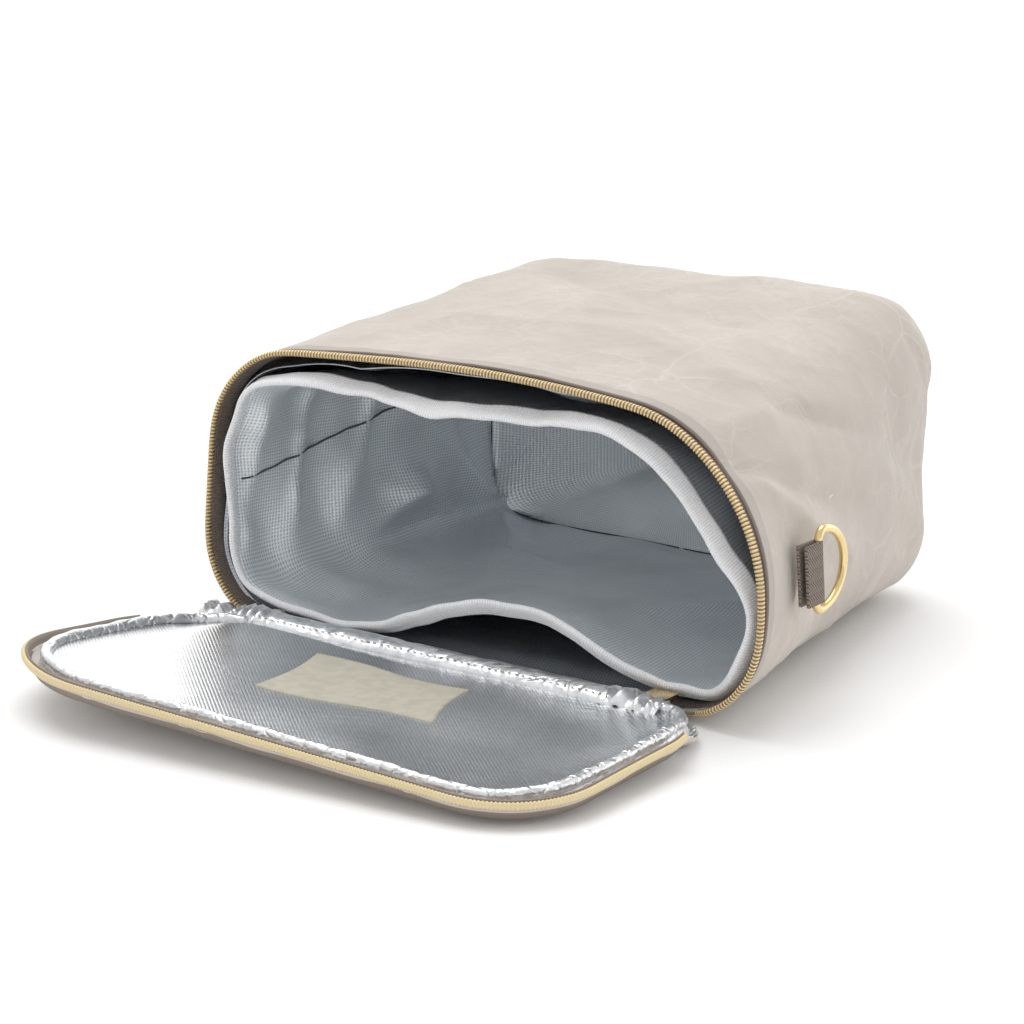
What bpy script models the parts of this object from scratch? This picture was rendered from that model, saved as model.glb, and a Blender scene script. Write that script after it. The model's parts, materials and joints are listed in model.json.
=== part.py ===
"""Insulated cooler bag, lying on its back panel with the lid folded open on the ground in front.

Metres, +Z up. X runs across the bag, +Y from the mouth to the base, and the ground is Z = 0.
The origin is under the middle of the whole bag, open lid included.
The case is a stack of sheets (cloth, foam, foil lining). A loose foil liner stands inside it.
The lid is a shallow padded tray that turns on the cloth fold in front of the mouth.
"""

import math

import bmesh
import bpy
from mathutils import Matrix, Vector

# Case, outside
MOUTH_WIDTH = 0.240
MOUTH_HEIGHT = 0.106
MOUTH_LIFT = 0.005  # the mouth's lower edge stands this far off the ground
LIFT_RUN = 0.040  # and comes down to it over this length
MOUTH_FRONT_RADIUS = 0.045
MOUTH_BACK_RADIUS = 0.038
BASE_WIDTH = 0.192
BASE_HEIGHT = 0.118
BASE_RADIUS = 0.036
BASE_EDGE_RADIUS = 0.024
BODY_LENGTH = 0.200

# Sheets and the clearance between neighbours
CLOTH = 0.0010
FOAM = 0.0040
FOIL = 0.0008
GAP = 0.0003

# Zip: woven tape and nylon coil, on the case and on the lid
TAPE = 0.0006
TAPE_SEWN = 0.0070  # tape hidden under the cloth
TAPE_SHOWN = 0.0026
COIL_WIDTH = 0.0022
COIL_THICKNESS = 0.0022
COIL_PARTING = 0.0014  # between the two coils when the lid is shut

# Hinge: the cloth strip from the mouth to the lid, and the binding over the lid's rear seam
HINGE_HEIGHT = 0.0005  # the fold's middle, above the ground
HINGE_RISE = 0.0044  # the strip's height half way along
HINGE_LAND = 0.0002  # the strip's height at the fold
STRIP_FRONT = 0.0095
STRIP_BACK = 0.0005
STRIP_HEIGHT = 0.0030
STRIP_ROUND = 0.0015

# Lid
LID_HEIGHT = 0.016
LID_RECESS = 0.0044  # from the zip's edge down to the piping's top
PIPING_RADIUS = 0.0022
LABEL_WIDTH = 0.068
LABEL_DEPTH = 0.040
LABEL_PLACE = 0.034  # from the fold to the label's middle
LABEL_THICKNESS = 0.0005

# Loose liner
LINER_WALL = 0.0020
LINER_SIDE_CLEARANCE = 0.0011
LINER_UNDER = 0.0042  # under the liner's mouth, and over it
LINER_OVER = 0.0096
LINER_FRONT_RADIUS = 0.038
LINER_BACK_RADIUS = 0.028
LINER_BASE_SIDE_CLEARANCE = 0.0056
LINER_BASE_UNDER = 0.0016
LINER_BASE_OVER = 0.0256
LINER_BASE_RADIUS = 0.026
LINER_EDGE_RADIUS = 0.016
LINER_BASE_CLEARANCE = 0.008
LINER_MOUTH = -0.002
BINDING = 0.0008
BINDING_WIDTH = 0.0065

# Strap rings
WEBBING_WIDTH = 0.022
WEBBING = 0.0012
WEBBING_REACH = 0.0092  # from the seam to the ring's bar
RING_WIRE = 0.0030
RING_SIDE_ROOM = 0.0010  # from the webbing's edge to the ring's bend
RING_DEPTH = 0.0200  # bar's middle to the bow's outer edge
RING_BEND = 0.0025
RING_PLACE = 0.035  # from the mouth to the ring's bar
RING_ABOVE = 0.050  # from the ground to the ring's middle
RING_REST_DEG = 8.0

# Slider and pull
SLIDER_LENGTH = 0.010
SLIDER_PLATE = 0.0012
SLIDER_WIDTH = 0.0090
SLIDER_INNER_ROOM = 0.0008
SLIDER_END_ROOM = 0.0010
POST_LENGTH = 0.0030
BRIDGE_SPAN = 0.0060
BRIDGE_BAR = 0.0009
BRIDGE_WIDTH = 0.0014
BRIDGE_LEG = 0.0013
PULL_BAR = 0.0010
PULL_ROOM = 0.00025
PULL_LENGTH = 0.0200
PULL_WIDTH = 0.0056
PULL_ARM = 0.0012
PULL_THICKNESS = 0.0010

CORNER_STEPS = 6
FILLET_STEPS = 3
TUBE_RESOLUTION = 2

# Depths under the outer surface, worked out from the sheets
FOAM_DEPTH = CLOTH + GAP
LINING_DEPTH = FOAM_DEPTH + FOAM + GAP
INSIDE_DEPTH = LINING_DEPTH + FOIL
TAPE_DEPTH = CLOTH + GAP
COIL_DEPTH = TAPE_DEPTH + (TAPE - COIL_THICKNESS) / 2
COIL_FRONT = TAPE_SHOWN + GAP + COIL_WIDTH
ZIP_MIDDLE = -(COIL_FRONT + COIL_PARTING / 2)

# The zip stops this far either side of the middle, with room for the parked slider
HINGE_HALF = MOUTH_WIDTH / 2 - MOUTH_BACK_RADIUS - SLIDER_LENGTH / 2 - SLIDER_END_ROOM

# The fold that the lid turns on: a shut lid brings its coil up to the case's coil
HINGE_Y = -(COIL_FRONT + COIL_PARTING) - (LID_HEIGHT - HINGE_HEIGHT)
MOUTH_TOP = MOUTH_LIFT + MOUTH_HEIGHT
LID_FRONT_Y = HINGE_Y + HINGE_HEIGHT - MOUTH_TOP
MIDDLE_Y = (BODY_LENGTH + LID_FRONT_Y) / 2


def clear_scene():
    for item in list(bpy.data.objects):
        bpy.data.objects.remove(item, do_unlink=True)


def material(name, colour, roughness, metallic=0.0):
    made = bpy.data.materials.new(name)
    made.use_nodes = True
    shader = made.node_tree.nodes["Principled BSDF"]
    shader.inputs["Base Color"].default_value = (*colour, 1.0)
    shader.inputs["Roughness"].default_value = roughness
    shader.inputs["Metallic"].default_value = metallic
    return made


def pivot(name, location):
    """An empty on a moving piece's axis."""
    empty = bpy.data.objects.new(name, None)
    empty.location = location
    bpy.context.scene.collection.objects.link(empty)
    return empty


def finish(name, bm, colour, parent=None, smooth=True):
    """Makes an object from a mesh in world space, hung on its pivot."""
    bmesh.ops.recalc_face_normals(bm, faces=bm.faces)
    if parent:
        bmesh.ops.translate(bm, verts=bm.verts, vec=-parent.location)
    mesh = bpy.data.meshes.new(name)
    bm.to_mesh(mesh)
    bm.free()
    if smooth:
        mesh.shade_smooth()
        mesh.set_sharp_from_angle(angle=math.radians(35))
    mesh.materials.append(colour)
    made = bpy.data.objects.new(name, mesh)
    made.parent = parent
    bpy.context.scene.collection.objects.link(made)
    return made


def corner_arcs(half, low, high, low_radius, high_radius, inset=0.0):
    """The four corner arcs of a rounded rectangle in (x, z): lower right, upper right, upper left, lower left."""
    half -= inset
    low += inset
    high -= inset
    low_radius -= inset
    high_radius -= inset
    centres = (
        (half - low_radius, low + low_radius, low_radius),
        (half - high_radius, high - high_radius, high_radius),
        (high_radius - half, high - high_radius, high_radius),
        (low_radius - half, low + low_radius, low_radius),
    )
    arcs = []
    for quarter, (x, z, radius) in enumerate(centres):
        start = math.radians(90 * quarter - 90)
        turns = [start + math.radians(90) * i / CORNER_STEPS for i in range(CORNER_STEPS + 1)]
        arcs.append([(x + radius * math.cos(t), z + radius * math.sin(t)) for t in turns])
    return arcs


def blend(a, b, share):
    return a + (b - a) * share


class Pouch:
    """A tapered pouch with a rounded base edge. Its sheets are read at a depth under its outer surface."""

    def __init__(self, mouth, base, start, length, edge_radius, lift=0.0):
        self.mouth = mouth  # half width, low, high, low radius, high radius
        self.base = base
        self.start = start
        self.length = length
        self.edge_radius = edge_radius
        self.lift = lift

    def section(self, y, inset):
        share = (y - self.start) / self.length
        half, low, high, low_radius, high_radius = (
            blend(a, b, share) for a, b in zip(self.mouth, self.base)
        )
        low += self.lift * max(0.0, 1 - (y - self.start) / LIFT_RUN)
        return corner_arcs(half, low, high, low_radius, high_radius, inset)

    def row(self, y, inset, arcs=range(4)):
        section = self.section(y, inset)
        return [(x, y, z) for arc in arcs for x, z in section[arc]]

    def rows(self, depth, arcs=range(4), front=None):
        """Rows of points from the mouth round the base edge."""
        straight_end = self.start + self.length - self.edge_radius
        front = self.start if front is None else front
        run = self.start + LIFT_RUN
        levels = [front, run, blend(run, straight_end, 0.5), straight_end]
        found = [self.row(y, depth, arcs) for y in levels]
        radius = self.edge_radius - depth
        for step in range(1, FILLET_STEPS + 1):
            turn = math.radians(90) * step / FILLET_STEPS
            inset = self.edge_radius - radius * math.cos(turn)
            found.append(self.row(straight_end + radius * math.sin(turn), inset, arcs))
        return found

    def base_outline(self, depth):
        """The flat of the base at a depth, just inside the rounded edge of the walls."""
        return self.row(self.start + self.length - depth, self.edge_radius + GAP)


def drawn_in(rows, amount):
    """Rows with their two ends moved towards each other along X, which leaves a seam at each end."""
    found = []
    for row in rows:
        way = math.copysign(amount, row[-1][0] - row[0][0])
        first = (row[0][0] + way, *row[0][1:])
        last = (row[-1][0] - way, *row[-1][1:])
        found.append([first, *row[1:-1], last])
    return found


def sheet(name, outer, inner, colour, parent=None, closed=False):
    """A sheet between two surfaces, each given as rows of points. The outer one is extruded to the inner one."""
    bm = bmesh.new()
    number = bm.verts.layers.int.new("number")
    rows = []
    flat_inner = [point for row in inner for point in row]
    for row in outer:
        rows.append([bm.verts.new(point) for point in row])
    for i, vert in enumerate(v for row in rows for v in row):
        vert[number] = i
    wide = len(outer[0])
    for near, far in zip(rows, rows[1:]):
        for i in range(wide if closed else wide - 1):
            j = (i + 1) % wide
            bm.faces.new((near[i], near[j], far[j], far[i]))
    grown = bmesh.ops.extrude_face_region(bm, geom=bm.faces[:])
    for item in grown["geom"]:
        if isinstance(item, bmesh.types.BMVert):
            item.co = flat_inner[item[number]]
    return finish(name, bm, colour, parent)


def slab(name, near, far, colour, parent=None):
    """A flat slab between two outlines in parallel planes. The near one is extruded to the far one."""
    bm = bmesh.new()
    number = bm.verts.layers.int.new("number")
    face = bm.faces.new([bm.verts.new(point) for point in near])
    for i, vert in enumerate(face.verts):
        vert[number] = i
    grown = bmesh.ops.extrude_face_region(bm, geom=[face])
    for item in grown["geom"]:
        if isinstance(item, bmesh.types.BMVert):
            item.co = far[item[number]]
    return finish(name, bm, colour, parent)


def plate(name, outline, thickness, colour, parent=None):
    """A slab whose two outlines are alike, apart by a vector."""
    return slab(name, outline, [Vector(point) + thickness for point in outline], colour, parent)


def tube(name, points, radius, colour, parent=None, closed=False):
    """A round rod along points in world space."""
    at = parent.location if parent else Vector((0, 0, 0))
    curve = bpy.data.curves.new(name, "CURVE")
    curve.dimensions = "3D"
    curve.bevel_depth = radius
    curve.bevel_resolution = TUBE_RESOLUTION
    curve.use_fill_caps = not closed
    spline = curve.splines.new("POLY")
    spline.points.add(len(points) - 1)
    for point, place in zip(spline.points, points):
        point.co = (*(Vector(place) - at), 1.0)
    spline.use_cyclic_u = closed
    curve.materials.append(colour)
    made = bpy.data.objects.new(name, curve)
    made.parent = parent
    bpy.context.scene.collection.objects.link(made)
    return made


def box(bm, low, high):
    """Adds a box between two corners."""
    size = [b - a for a, b in zip(low, high)]
    middle = [(a + b) / 2 for a, b in zip(low, high)]
    place = Matrix.Translation(middle) @ Matrix.Diagonal((*size, 1.0))
    bmesh.ops.create_cube(bm, size=1.0, matrix=place)


def joined_boxes(name, boxes, colour, parent):
    """One solid from boxes that overlap, joined with Boolean unions."""
    made = None
    for i, (low, high) in enumerate(boxes):
        bm = bmesh.new()
        box(bm, low, high)
        piece = finish(name if i == 0 else f"{name}_block_{i}", bm, colour, parent, smooth=False)
        if made is None:
            made = piece
            continue
        piece.hide_render = True
        piece.display_type = "WIRE"
        union = made.modifiers.new(f"join_{i}", "BOOLEAN")
        union.operation = "UNION"
        union.object = piece
    return made


def mouth_size():
    return (
        MOUTH_WIDTH / 2,
        0.0,
        MOUTH_TOP,
        MOUTH_BACK_RADIUS,
        MOUTH_FRONT_RADIUS,
    )


def case_pouch():
    return Pouch(
        mouth_size(),
        (BASE_WIDTH / 2, 0.0, BASE_HEIGHT, BASE_RADIUS, BASE_RADIUS),
        0.0,
        BODY_LENGTH,
        BASE_EDGE_RADIUS,
        MOUTH_LIFT,
    )


def build_case(linen, foam, foil):
    case = case_pouch()
    foam_front = TAPE_SEWN + 2 * GAP
    layers = (
        ("case_cloth", linen, 0.0, CLOTH, 0.0),
        ("case_foam", foam, FOAM_DEPTH, FOAM, foam_front),
    )
    for layer, colour, depth, thickness, front in layers:
        for side, arcs in (("right", (0, 1)), ("left", (2, 3))):
            sheet(
                f"{layer}_{side}",
                case.rows(depth, arcs, front),
                case.rows(depth + thickness, arcs, front),
                colour,
            )
        for side, arc, point in (("front", 1, -1), ("back", 3, -1)):
            rows = []
            for level in (depth, depth + thickness):
                ends = zip(case.rows(level, (arc,), front), case.rows(level, ((arc + 1) % 4,), front))
                rows.append(drawn_in([[a[point], b[0]] for a, b in ends], GAP))
            sheet(f"{layer}_{side}", rows[0], rows[1], colour)
        slab(f"{layer}_base", case.base_outline(depth), case.base_outline(depth + thickness), colour)
    sheet(
        "case_lining_walls",
        case.rows(LINING_DEPTH, front=GAP),
        case.rows(INSIDE_DEPTH, front=GAP),
        foil,
        closed=True,
    )
    slab("case_lining_base", case.base_outline(LINING_DEPTH), case.base_outline(INSIDE_DEPTH), foil)


def zip_path(depth, y=0.0):
    """The zip's way round the mouth in (x, z), from the hinge's right end to its left end."""
    arcs = case_pouch().section(max(y, 0.0), depth)
    low = arcs[0][0][1]
    return [(HINGE_HALF, low), *(point for arc in arcs for point in arc), (-HINGE_HALF, low)]


def case_band(name, depth, thickness, places, colour):
    """A band of the case's zip, through some places along Y."""
    outer, inner = (
        [[(x, y, z) for x, z in zip_path(level, y)] for y in places]
        for level in (depth, depth + thickness)
    )
    return sheet(name, outer, inner, colour)


def lid_point(x, z, height):
    """Where a point of the mouth's outline lies on the open lid, at a height above the ground."""
    return (x, HINGE_Y + HINGE_HEIGHT - z, height)


def lid_band(name, depth, thickness, low, high, colour, parent, skip=0):
    """A band that stands on the lid's three zipped sides. It leaves out some points at each end."""
    outer, inner = (
        [
            [lid_point(x, z, height) for x, z in zip_path(level)[skip : len(zip_path(level)) - skip]]
            for height in (low, high)
        ]
        for level in (depth, depth + thickness)
    )
    return sheet(name, outer, inner, colour, parent)


def lid_plate(name, inset, low, thickness, colour, parent, flap=False):
    """A flat layer of the lid, with the flap that reaches the fold if it has one."""
    outline = [lid_point(x, z, low) for x, z in zip_path(inset)]
    if flap:
        fold = HINGE_Y - GAP
        outline += [(-HINGE_HALF, fold, low), (HINGE_HALF, fold, low)]
    return plate(name, outline, Vector((0, 0, thickness)), colour, parent)


def build_zip_and_hinge(linen, tape, coil, foil):
    tape_places = (-TAPE_SHOWN, 0.0, TAPE_SEWN)
    coil_places = (-COIL_FRONT, -TAPE_SHOWN - GAP)
    case_band("case_zip_tape", TAPE_DEPTH, TAPE, tape_places, tape)
    case_band("case_zip_coil", COIL_DEPTH, COIL_THICKNESS, coil_places, coil)
    half = HINGE_HALF - 2 * GAP
    strip = ((-GAP, MOUTH_LIFT), (HINGE_Y / 2, HINGE_RISE), (HINGE_Y + 2 * GAP, HINGE_LAND))
    lining_rise = CLOTH + GAP
    for name, rise, thickness, colour in (
        ("hinge_cloth", 0.0, CLOTH, linen),
        ("hinge_lining", lining_rise, FOIL, foil),
    ):
        outer, inner = (
            [[(x, y, z + up) for y, z in strip] for x in (-half, half)]
            for up in (rise, rise + thickness)
        )
        sheet(name, outer, inner, colour)
    low = MOUTH_LIFT + lining_rise + FOIL + GAP
    rounded = (
        (-STRIP_FRONT, low),
        (-STRIP_BACK, low),
        (-STRIP_BACK, low + STRIP_HEIGHT - STRIP_ROUND),
        (-STRIP_BACK - STRIP_ROUND, low + STRIP_HEIGHT),
        (-STRIP_FRONT + STRIP_ROUND, low + STRIP_HEIGHT),
        (-STRIP_FRONT, low + STRIP_HEIGHT - STRIP_ROUND),
    )
    outline = [(-half, y, z) for y, z in rounded]
    plate("hinge_binding", outline, Vector((2 * half, 0, 0)), foil)


def build_lid(linen, foam, foil, tape, coil, label_cloth):
    fold = pivot("lid_fold", (0.0, HINGE_Y, HINGE_HEIGHT))
    lid_plate("lid_cloth", 0.0, 0.0, CLOTH, linen, fold, flap=True)
    coil_low = LID_HEIGHT - COIL_WIDTH
    tape_high = coil_low - GAP
    gusset_high = tape_high - TAPE_SHOWN
    lid_band("lid_gusset", 0.0, CLOTH, CLOTH + GAP, gusset_high, linen, fold)
    piping_top = LID_HEIGHT - LID_RECESS
    foam_inset = TAPE_DEPTH + TAPE + GAP
    foam_low = CLOTH + GAP
    foam_high = piping_top - 2 * PIPING_RADIUS - GAP
    lid_plate("lid_foam", foam_inset, foam_low, foam_high - foam_low, foam, fold)
    lining_inset = foam_inset + 2 * PIPING_RADIUS + GAP
    lining_low = foam_high + GAP
    lid_plate("lid_lining", lining_inset, lining_low, FOIL, foil, fold)
    piping_inset = foam_inset + PIPING_RADIUS
    path = [lid_point(x, z, piping_top - PIPING_RADIUS) for x, z in zip_path(piping_inset)]
    tube("lid_piping", path, PIPING_RADIUS, foil, fold)
    tape_low = gusset_high - TAPE_SEWN / 2
    lid_band("lid_zip_tape", TAPE_DEPTH, TAPE, tape_low, tape_high, tape, fold)
    # the coil starts past the parked slider
    lid_band("lid_zip_coil", COIL_DEPTH, COIL_THICKNESS, coil_low, LID_HEIGHT, coil, fold, skip=2)
    back = HINGE_Y - LABEL_PLACE + LABEL_DEPTH / 2
    height = lining_low + FOIL + GAP
    corners = ((1, 0), (1, -1), (-1, -1), (-1, 0))
    outline = [(x * LABEL_WIDTH / 2, back + y * LABEL_DEPTH, height) for x, y in corners]
    plate("lid_label", outline, Vector((0, 0, LABEL_THICKNESS)), label_cloth, fold)


def build_liner(foil, binding):
    half = MOUTH_WIDTH / 2 - INSIDE_DEPTH - LINER_SIDE_CLEARANCE
    low = MOUTH_LIFT + INSIDE_DEPTH + LINER_UNDER
    high = MOUTH_TOP - INSIDE_DEPTH - LINER_OVER
    length = BODY_LENGTH - INSIDE_DEPTH - LINER_BASE_CLEARANCE - LINER_MOUTH
    liner = Pouch(
        (half, low, high, LINER_BACK_RADIUS, LINER_FRONT_RADIUS),
        (
            BASE_WIDTH / 2 - INSIDE_DEPTH - LINER_BASE_SIDE_CLEARANCE,
            INSIDE_DEPTH + LINER_BASE_UNDER,
            BASE_HEIGHT - INSIDE_DEPTH - LINER_BASE_OVER,
            LINER_BASE_RADIUS,
            LINER_BASE_RADIUS,
        ),
        LINER_MOUTH,
        length,
        LINER_EDGE_RADIUS,
    )
    track = pivot("liner_track", (0.0, LINER_MOUTH, (low + high) / 2))
    for side, arcs in (("right", (0, 1)), ("left", (2, 3))):
        sheet(f"liner_{side}", liner.rows(0.0, arcs), liner.rows(LINER_WALL, arcs), foil, track)
    for side, arc in (("front", 1), ("back", 3)):
        rows = []
        for level in (0.0, LINER_WALL):
            ends = zip(liner.rows(level, (arc,)), liner.rows(level, ((arc + 1) % 4,)))
            rows.append(drawn_in([[a[-1], b[0]] for a, b in ends], GAP))
        sheet(f"liner_{side}", rows[0], rows[1], foil, track)
    slab("liner_base", liner.base_outline(0.0), liner.base_outline(LINER_WALL), foil, track)
    build_binding(liner, binding, track)


def build_binding(liner, colour, track):
    """The woven tape folded over the liner's mouth: a U in section, turned all round the mouth."""
    outside = -GAP - BINDING
    inside = LINER_WALL + GAP + BINDING
    front = LINER_MOUTH - GAP
    lip = front - BINDING
    back = front + BINDING_WIDTH
    section = (
        (back, outside),
        (lip, outside),
        (lip, inside),
        (back, inside),
        (back, LINER_WALL + GAP),
        (front, LINER_WALL + GAP),
        (front, -GAP),
        (back, -GAP),
    )
    bm = bmesh.new()
    loops = [[bm.verts.new(p) for p in liner.row(y, inset)] for y, inset in section]
    for near, far in zip(loops, loops[1:] + loops[:1]):
        for i, vert in enumerate(near):
            j = (i + 1) % len(near)
            bm.faces.new((vert, near[j], far[j], far[i]))
    finish("liner_binding", bm, colour, track)


def ring_points(half, depth):
    """A D in its own plane: the bar along Z at 0, from -half to half, and a round bow that reaches depth."""
    turns = 14
    points = [(0.0, RING_BEND - half), (0.0, half - RING_BEND)]
    for step in range(turns + 1):
        turn = math.pi / 2 - math.pi * step / turns
        points.append((RING_BEND + (depth - RING_BEND) * math.cos(turn), half * math.sin(turn)))
    return points


def build_rings(webbing, metal):
    taper = math.atan((MOUTH_WIDTH - BASE_WIDTH) / 2 / BODY_LENGTH)
    bar_radius = RING_WIRE / 2
    room = bar_radius + GAP
    bar_out = GAP + WEBBING + room
    for side, way in (("right", 1), ("left", -1)):
        wall = MOUTH_WIDTH / 2 - RING_PLACE * math.tan(taper)
        along = Vector((-math.sin(taper) * way, math.cos(taper), 0.0))
        out = Vector((math.cos(taper) * way, math.sin(taper), 0.0))
        foot = Vector((wall * way, RING_PLACE, RING_ABOVE))
        bar = foot + out * bar_out
        swing = pivot(f"ring_{side}_bar", bar)
        rest = math.radians(RING_REST_DEG)
        reach = along * math.cos(rest) + out * math.sin(rest)
        bar_half = WEBBING_WIDTH / 2 + RING_SIDE_ROOM + RING_BEND
        shape = ring_points(bar_half, RING_DEPTH - bar_radius)
        points = [bar + reach * u + Vector((0, 0, z)) for u, z in shape]
        tube(f"ring_{side}", points, bar_radius, metal, swing, closed=True)
        profile = webbing_profile(room)
        base = bar - Vector((0, 0, WEBBING_WIDTH / 2))
        outline = [base + along * u + out * n for u, n in profile]
        plate(f"webbing_{side}", outline, Vector((0, 0, WEBBING_WIDTH)), webbing)


def webbing_profile(room):
    """A strip folded round the bar, in the plane across the bar: two legs and the bend between them."""
    turns = 8
    sweep = [math.pi / 2 - math.pi * i / turns for i in range(turns + 1)]
    outside = [((room + WEBBING) * math.cos(t), (room + WEBBING) * math.sin(t)) for t in sweep]
    inside = [(room * math.cos(t), room * math.sin(t)) for t in reversed(sweep)]
    far = -WEBBING_REACH
    ends = (
        (far, room + WEBBING),
        (far, -room - WEBBING),
        (far, -room),
        (far, room),
    )
    return [ends[0], *outside, ends[1], ends[2], *inside, ends[3]]


def build_slider(metal):
    """The slider at the zip's right end under the mouth, on the corner's axis, and its pull."""
    centre_x = MOUTH_WIDTH / 2 - MOUTH_BACK_RADIUS
    axis_z = MOUTH_LIFT + MOUTH_BACK_RADIUS
    travel = pivot("slider_corner_axis", (centre_x, ZIP_MIDDLE, axis_z))
    outer_top = MOUTH_LIFT + COIL_DEPTH - GAP
    outer_low = outer_top - SLIDER_PLATE
    inner_low = MOUTH_LIFT + COIL_DEPTH + COIL_THICKNESS + SLIDER_INNER_ROOM
    inner_top = inner_low + SLIDER_PLATE
    x0 = centre_x - SLIDER_LENGTH / 2
    x1 = centre_x + SLIDER_LENGTH / 2
    y0 = ZIP_MIDDLE - SLIDER_WIDTH / 2
    y1 = ZIP_MIDDLE + SLIDER_WIDTH / 2
    post = COIL_PARTING / 2 - GAP
    bar_room = PULL_BAR / 2 + PULL_ROOM
    bridge_top = outer_low - 2 * bar_room
    bridge_low = bridge_top - BRIDGE_BAR
    span = BRIDGE_SPAN / 2
    rim = BRIDGE_WIDTH / 2
    sink = SLIDER_PLATE / 2
    joined_boxes(
        "zip_slider",
        (
            ((x0, y0, outer_low), (x1, y1, outer_top)),
            ((x0, y0, inner_low), (x1, y1, inner_top)),
            (
                (centre_x - POST_LENGTH / 2, ZIP_MIDDLE - post, outer_low + sink),
                (centre_x + POST_LENGTH / 2, ZIP_MIDDLE + post, inner_top - sink),
            ),
            (
                (centre_x - span, ZIP_MIDDLE - rim, bridge_low),
                (centre_x - span + BRIDGE_LEG, ZIP_MIDDLE + rim, outer_low + sink),
            ),
            (
                (centre_x + span - BRIDGE_LEG, ZIP_MIDDLE - rim, bridge_low),
                (centre_x + span, ZIP_MIDDLE + rim, outer_low + sink),
            ),
            (
                (centre_x - span + sink, ZIP_MIDDLE - rim, bridge_low),
                (centre_x + span - sink, ZIP_MIDDLE + rim, bridge_top),
            ),
        ),
        metal,
        travel,
    )
    bar_height = outer_low - bar_room
    swing = pivot("pull_bar_axis", (centre_x, ZIP_MIDDLE, bar_height))
    window = rim + PULL_ROOM * 2
    arm_out = window + PULL_ARM
    low = bar_height - PULL_THICKNESS / 2
    high = bar_height + PULL_THICKNESS / 2
    bar_half = PULL_BAR / 2
    tab = centre_x - span - PULL_ROOM * 4
    tip = centre_x - PULL_LENGTH
    joined_boxes(
        "zip_pull",
        (
            (
                (centre_x - bar_half, ZIP_MIDDLE - arm_out, low),
                (centre_x + bar_half, ZIP_MIDDLE + arm_out, high),
            ),
            ((tab - PULL_ARM, ZIP_MIDDLE - arm_out, low), (centre_x, ZIP_MIDDLE - window, high)),
            ((tab - PULL_ARM, ZIP_MIDDLE + window, low), (centre_x, ZIP_MIDDLE + arm_out, high)),
            (
                (tip, ZIP_MIDDLE - PULL_WIDTH / 2, low),
                (tab, ZIP_MIDDLE + PULL_WIDTH / 2, high),
            ),
        ),
        metal,
        swing,
    )


def stand_on_origin():
    """Everything is built with the mouth at Y = 0. This brings the middle of the whole bag there."""
    for item in bpy.data.objects:
        if item.parent is None:
            item.location.y -= MIDDLE_Y


def main():
    clear_scene()
    linen = material("washed_linen", (0.62, 0.57, 0.53), 0.9)
    foam = material("foam_sheet", (0.80, 0.80, 0.78), 0.95)
    foil = material("foil_cloth", (0.62, 0.65, 0.67), 0.35, 0.7)
    tape = material("zip_tape_cloth", (0.30, 0.25, 0.21), 0.9)
    coil = material("gold_coil", (0.75, 0.62, 0.36), 0.35, 0.6)
    metal = material("gold_metal", (0.85, 0.68, 0.36), 0.2, 1.0)
    binding = material("white_binding", (0.86, 0.86, 0.88), 0.85)
    webbing = material("taupe_webbing", (0.31, 0.26, 0.22), 0.9)
    label_cloth = material("cream_label", (0.55, 0.52, 0.42), 0.85)
    build_case(linen, foam, foil)
    build_zip_and_hinge(linen, tape, coil, foil)
    build_lid(linen, foam, foil, tape, coil, label_cloth)
    build_liner(foil, binding)
    build_rings(webbing, metal)
    build_slider(metal)
    stand_on_origin()


main()
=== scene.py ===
"""Insulated cooler bag, lying on its back with the lid folded open: the looks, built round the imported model.

Metres, +Z up, +Y from the mouth to the base. Lengths along Y in the settings are counted from the mouth.
"""

import json
import math

import bpy
import numpy as np
from mathutils import Matrix, Vector, noise


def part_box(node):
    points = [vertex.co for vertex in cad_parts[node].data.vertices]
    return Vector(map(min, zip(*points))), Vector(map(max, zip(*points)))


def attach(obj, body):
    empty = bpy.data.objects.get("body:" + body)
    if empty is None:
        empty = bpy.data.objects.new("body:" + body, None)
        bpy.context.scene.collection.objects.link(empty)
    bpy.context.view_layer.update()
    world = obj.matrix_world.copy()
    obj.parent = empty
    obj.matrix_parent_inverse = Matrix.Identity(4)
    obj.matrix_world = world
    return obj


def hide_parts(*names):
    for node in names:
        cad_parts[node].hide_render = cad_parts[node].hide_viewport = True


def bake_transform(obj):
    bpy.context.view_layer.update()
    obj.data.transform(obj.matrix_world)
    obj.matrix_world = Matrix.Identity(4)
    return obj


bl_info = {
    "name": "Cooler bag",
    "version": (1, 0, 0),
    "blender": (4, 5, 0),
    "location": "3D View > Sidebar > Cooler bag",
    "description": "Builds the cloth, foil, zip and metal pieces of an insulated cooler bag",
    "category": "Object",
}

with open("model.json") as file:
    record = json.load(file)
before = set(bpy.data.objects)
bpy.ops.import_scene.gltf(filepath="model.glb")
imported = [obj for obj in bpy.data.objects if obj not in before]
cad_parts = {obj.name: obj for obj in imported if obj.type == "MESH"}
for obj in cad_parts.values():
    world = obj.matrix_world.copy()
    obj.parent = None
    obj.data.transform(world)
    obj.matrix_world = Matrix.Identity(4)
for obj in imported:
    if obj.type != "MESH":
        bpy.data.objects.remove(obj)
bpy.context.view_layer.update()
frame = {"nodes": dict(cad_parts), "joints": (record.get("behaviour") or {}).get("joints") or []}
MOUTH_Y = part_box("case_cloth_right")[0].y
RIM_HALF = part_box("case_cloth_right")[1].x
BODY_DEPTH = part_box("case_cloth_base")[1].y - MOUTH_Y
BASE_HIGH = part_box("case_cloth_front")[1].z
HINGE = next(j for j in frame["joints"] if j["name"] == "lid_hinge")
FOLD_Y = HINGE["pos_m"][1] - MOUTH_Y
LOOP = 240
CLOTH_MAP = "cloth_metres"
MM = 0.001
TURN = 2 * math.pi
UP = np.array([0.0, 0.0, 1.0])
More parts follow.
